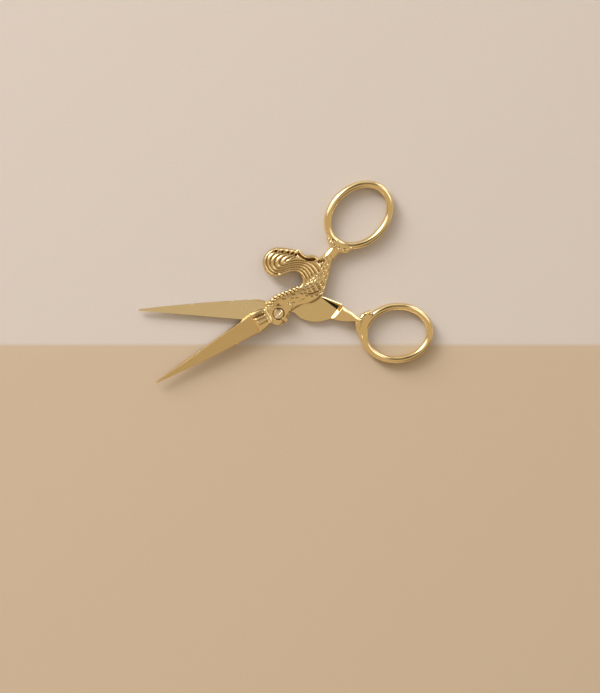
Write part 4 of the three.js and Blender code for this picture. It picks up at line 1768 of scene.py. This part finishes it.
@dataclass
class PivotScrew:
    """Slotted pivot screw, its head sunk in the bird's head."""

    head: float = 3.9
    head_height: float = 0.75
    crown: float = 0.14
    shank: float = 2.4
    slot_width: float = 0.55
    slot_depth: float = 0.4
    slot_angle: float = 34.0
    rounding: float = 0.09
    step: float = 0.06
    margin: float = 0.2  # of the box of sample points round the screw
    headroom: float = 0.3  # and over it
    bare_from: float = 0.5  # share of the slot's depth under which its metal is bare
    bare_width: float = 0.55  # half the bare width, as a share of the slot's

    def build(self, finish: bpy.types.Material) -> bpy.types.Object:
        """Makes the screw, which stands in the row frame.

        Args:
            finish: Material of the piece.

        Returns:
            The finished piece.
        """
        reach = self.head / 2 + self.margin
        top = FRONT_TOP + self.headroom
        grid = SolidGrid((-reach, -reach, -self.margin), (reach, reach, top), self.step)
        radius = np.hypot(grid.x, grid.y)[:, :, None]
        dome = FRONT_TOP - self.crown * (2 * radius / self.head) ** 2
        seat = FRONT_TOP - self.head_height
        head = smooth_max(radius - self.head / 2, grid.z - dome, 2 * self.rounding)
        head = np.maximum(head, seat - grid.z)
        shank = smooth_max(radius - self.shank / 2, -grid.z, self.rounding)
        solid = np.minimum(head, np.maximum(shank, grid.z - seat - self.step))
        across = self._across(grid.x, grid.y)[:, :, None]
        slot = np.maximum(across - self.slot_width / 2, FRONT_TOP - self.slot_depth - grid.z)
        points, quads = grid.skin(smooth_max(solid, -slot, self.rounding))
        piece = new_piece("slotted_screw", points, quads, finish)
        x, y, z = points.T
        sunk = (z > seat) & (z < FRONT_TOP - self.bare_from * self.slot_depth)
        paint_shade_and_steel(piece, sunk & (self._across(x, y) < self.bare_width * self.slot_width))
        return settle(piece, Matrix.Scale(MM, 4), Shading.SMOOTH)

    def _across(self, x: Array, y: Array) -> Array:
        """Distance in plan from the slot's middle line."""
        turn = math.radians(self.slot_angle)
        return np.abs(y * math.cos(turn) - x * math.sin(turn))


# Stage


@dataclass(frozen=True)
class RoomPanel:
    """Soft-edged panel of the room round the scissors.

    Attributes:
        way: Direction of its middle in the image: right, up and towards the camera.
        half_width: Half its width, as the sine of the angle it takes up.
        half_height: Half its height, likewise.
        colour: Linear colour of its light.
        soft: Half the width of its soft edge.
    """

    way: Corner
    half_width: float
    half_height: float
    colour: Colour
    soft: float = 0.1


@dataclass(frozen=True)
class Studio:
    """Camera, light and floor.

    Attributes:
        distance: Camera to the pivot, in metres.
        tilt: Turn of the scissors about the image's X and Y axes, in degrees.
        roll: Turn of the row frame in the image, in degrees.
        offset: Pivot from the middle of the image, in metres at the pivot.
        lens: Focal length, in millimetres.
        sensor: Size of the sensor on the image's long side, in millimetres.
        nearest: Where the camera begins to see, in metres.
        plane: Height of the plane that the camera is set to, over the table, in metres.
        floor_colour: Linear colour of the floor beyond the table's edge.
        table_colour: Linear colour of the floor on this side of it.
        table_edge: Where that edge begins and ends, up the image from the pivot, in metres.
        floor_size: Width of the floor, in metres.
        fibre_scale: Fibres of its paper per metre.
        fibre_detail: Fineness of the fibres.
        fibre_tone: Tone of the darkest and the lightest fibres.
        key_power: Power of the key light, in watts.
        key_colour: Linear colour of that light.
        key_size: Diameter of its disc, in metres.
        key_way: Its direction in the image: right, up and towards the camera.
        key_distance: From the pivot to the disc, in metres.
        table_glow: Linear colour of the room from below.
        room_glow: Linear colour of the room from above.
        glow_edge: Where the one turns into the other, as the sine of the angle up the image.
        panels: What else stands in the room, each in front of the ones before it.
    """

    distance: float = 0.45
    tilt: Span = (8.0, 14.0)
    roll: float = 12.515
    offset: Span = (-0.0085, 0.0125)
    lens: float = 62.34
    sensor: float = 36.0
    nearest: float = 0.01
    plane: float = 0.0015
    floor_colour: Colour = (0.58, 0.523, 0.484)
    table_colour: Colour = (0.522, 0.417, 0.304)
    table_edge: Span = (-0.0127, -0.0113)
    floor_size: float = 4.0
    fibre_scale: float = 900.0
    fibre_detail: float = 4.0
    fibre_tone: Span = (0.97, 1.03)
    key_power: float = 34.0
    key_colour: Colour = (1.0, 0.99, 0.98)
    key_size: float = 0.7
    key_way: Corner = (-0.6, 0.65, 0.6)
    key_distance: float = 1.8
    table_glow: Colour = (0.58, 0.454, 0.298)
    room_glow: Colour = (0.333, 0.277, 0.204)
    glow_edge: Span = (-0.15, 0.35)
    panels: tuple[RoomPanel, ...] = (
        # Dim corner below, ceiling, and bright walls to the right and the left
        RoomPanel((0.75, -0.62, 0.2), 0.32, 0.32, (0.20, 0.15, 0.095)),
        RoomPanel((0.0, 0.95, 0.3), 0.5, 0.22, (0.95, 0.88, 0.78)),
        RoomPanel((0.76, 0.62, 0.14), 0.3, 0.2, (2.2, 2.17, 2.13), 0.06),
        RoomPanel((-0.75, 0.62, 0.15), 0.45, 0.34, (2.0, 1.97, 1.93)),
        # Pale curtain on this side, with a window in it
        RoomPanel((-0.32, 0.5, 0.80), 0.42, 0.38, (1.3, 1.29, 1.27)),
        RoomPanel((-0.42, 0.66, 0.62), 0.32, 0.17, (7.0, 6.93, 6.83), 0.06),
        # Small lights to the right
        RoomPanel((0.74, 0.13, 0.66), 0.12, 0.17, (2.6, 2.57, 2.53), 0.05),
        RoomPanel((0.92, 0.22, 0.28), 0.12, 0.12, (1.6, 1.58, 1.55), 0.06),
        # Dark gaps beside the camera
        RoomPanel((0.47, 0.08, 0.88), 0.14, 0.12, (0.02, 0.018, 0.015), 0.05),
        RoomPanel((0.25, 0.40, 0.88), 0.17, 0.13, (0.02, 0.018, 0.015), 0.05),
        RoomPanel((0.77, 0.42, 0.49), 0.16, 0.13, (0.02, 0.018, 0.015), 0.04),
    )

    def camera(self) -> None:
        """Sets the camera where the photograph was taken from."""
        data = bpy.data.cameras.new("camera")
        data.lens = self.lens
        data.sensor_width = self.sensor
        data.clip_start = self.nearest
        camera = linked("camera", data)
        camera.matrix_world = self.view.inverted() @ Matrix.Translation((0, 0, self.distance))
        bpy.context.scene.camera = camera

    @property
    def view(self) -> Matrix:
        """Row frame to a frame at the pivot that looks straight at the camera.

        Returns:
            The matrix.
        """
        turn = Matrix.Rotation(math.radians(self.tilt[0]), 4, "X")
        turn = turn @ Matrix.Rotation(math.radians(self.tilt[1]), 4, "Y")
        turn = turn @ Matrix.Rotation(math.radians(self.roll), 4, "Z")
        return Matrix.Translation((*self.offset, 0)) @ turn @ Matrix.Translation((0, 0, -self.plane))

    def direction(self, right: float, up: float, front: float) -> Vector:
        """Unit direction in the row frame from one given in the image."""
        return (self.view.to_3x3().transposed() @ Vector((right, up, front))).normalized()

    def lights(self) -> None:
        """Hangs a soft key light at the upper left."""
        data = bpy.data.lights.new("key", "AREA")
        data.energy = self.key_power
        data.shape = "DISK"
        data.size = self.key_size
        data.color = self.key_colour
        lamp = linked("key", data)
        way = self.direction(*self.key_way)
        lamp.location = way * self.key_distance
        lamp.rotation_euler = way.to_track_quat("Z", "Y").to_euler()
        lamp.visible_camera = False
        lamp.visible_glossy = False

    def world(self) -> None:
        """Surrounds the scene with a soft room of pale and dark panels, plain to the camera."""
        world = bpy.data.worlds.new("room")
        world.use_nodes = True
        bpy.context.scene.world = world
        build = TreeBuilder(world.node_tree)
        way = build.add("ShaderNodeTexCoord").outputs["Generated"]
        up = build.dot(way, tuple(self.direction(0, 1, 0)))
        height = build.remap(up, self.glow_edge, kind="SMOOTHSTEP")
        room = build.mix(height, self.table_glow, self.room_glow)
        for panel in self.panels:
            room = build.mix(self._mask(build, way, panel), room, panel.colour)
        seen = build.add("ShaderNodeLightPath").outputs["Is Camera Ray"]
        shown = build.mix(seen, room, self.floor_colour)
        glow = build.add("ShaderNodeBackground", {"Color": shown, "Strength": 1.0})
        build.add("ShaderNodeOutputWorld", {"Surface": glow})

    def _mask(self, build: TreeBuilder, way: bpy.types.NodeSocket, panel: RoomPanel) -> bpy.types.Node:
        """Share of a panel that is seen in each direction.

        Args:
            build: Builder of the world's tree.
            way: Direction that is looked in.
            panel: The panel.

        Returns:
            Node that gives the share.
        """
        ahead = self.direction(*panel.way)
        across = Vector(self.direction(0, 1, 0)).cross(ahead).normalized()
        mask: Any = 1.0
        for axis, half in ((across, panel.half_width), (ahead.cross(across), panel.half_height)):
            away = build.maths("ABSOLUTE", build.dot(way, tuple(axis)))
            edge = (half - panel.soft, half + panel.soft)
            mask = build.maths("MULTIPLY", build.remap(away, edge, (1.0, 0.0), "SMOOTHSTEP"), mask)
        before = build.dot(way, tuple(ahead))
        return build.maths("MULTIPLY", mask, build.maths("GREATER_THAN", before, 0.0))

    def floor(self) -> None:
        """Lays a pale matt floor under the scissors."""
        half = self.floor_size / 2
        corners = np.array([(-half, -half, 0), (half, -half, 0), (half, half, 0), (-half, half, 0)])
        floor = new_piece("floor", corners, [(0, 1, 2, 3)], self._paper())

    def _paper(self) -> bpy.types.Material:
        """Matt paper, see-through from below.

        Returns:
            The material.
        """
        build = MaterialTree("pale paper")
        fibres = build.noise(build.coordinates, self.fibre_scale, self.fibre_detail)
        up = build.dot(build.coordinates, tuple(self.direction(0, 1, 0)))
        plain = build.mix(build.remap(up, self.table_edge), self.table_colour, self.floor_colour)
        colour = build.scaled(plain, build.remap(fibres, (0.0, 1.0), self.fibre_tone))
        paper = build.add("ShaderNodeBsdfDiffuse", {"Color": colour})
        clear = build.add("ShaderNodeBsdfTransparent")
        below = build.add("ShaderNodeNewGeometry").outputs["Backfacing"]
        return build.finish(build.add("ShaderNodeMixShader", {0: below, 1: paper, 2: clear}))


def attach(piece: bpy.types.Object, half: HalfFrame, stands_for: bool = False) -> None:
    """Rides a piece on its half and reports it.

    Args:
        piece: The finished piece.
        half: The half that carries it.
        stands_for: Whether it takes the place of the half's solid.
    """
    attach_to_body(piece, half.body)
    if stands_for:
        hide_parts(half.node)
    LOG.info("%s: %d faces on %s", piece.name, len(piece.data.polygons), half.body)


def main() -> None:
    """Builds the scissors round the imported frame."""
    logging.basicConfig(level=logging.INFO, format="%(name)s: %(message)s")
    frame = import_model()
    bpy.context.scene.view_settings.view_transform = "Standard"
    opening = -math.radians(frame["joints"][0]["range_deg"][0])
    front = HalfFrame("front", "front_half", "gold_plate", FRONT_FACE, 1, opening / 2)
    back = HalfFrame("back", "back_half", "gold_plate_back", BACK_FACE, -1, -opening / 2)
    screw_frame = HalfFrame("back", "pivot_screw", "screw", 0.0, 1, 0.0)

    studio = Studio()
    studio.camera()
    studio.world()
    studio.lights()
    studio.floor()

    finishes = (CAST_GOLD, WIRE_GOLD, PLATE_GOLD, SCREW_GOLD)
    bright, wire, mirror, pale = (finish.material() for finish in finishes)

    ring_tree = FingerRing.tree()
    front_ring = FingerRing(front, "front_ring", centre=(44.96, 17.29), axis=10.4)
    back_ring = FingerRing(back, "back_ring", centre=(47.7, -6.66), axis=2.7)
    for half, ring, side in ((front, front_ring, 1), (back, back_ring, -1)):
        ground = replace(LIT_AND_SHADED_BLADE_GOLDS[half.body], turn=-half.turn).material()
        attach(Blade(half, f"{half.body}_blade", side).build(ground), half)
        attach(ring.build(ring_tree, wire), half)
    attach(FrontCasting(front, front_ring).build(bright), front, stands_for=True)
    attach(RopeCrest(front).build(bright), front)
    attach(BackCasting(back, back_ring).build(bright), back, stands_for=True)
    attach(LeafPlate(back).build(mirror), back)
    attach(PivotScrew().build(pale), screw_frame, stands_for=True)


if __name__ == "__main__":
    main()
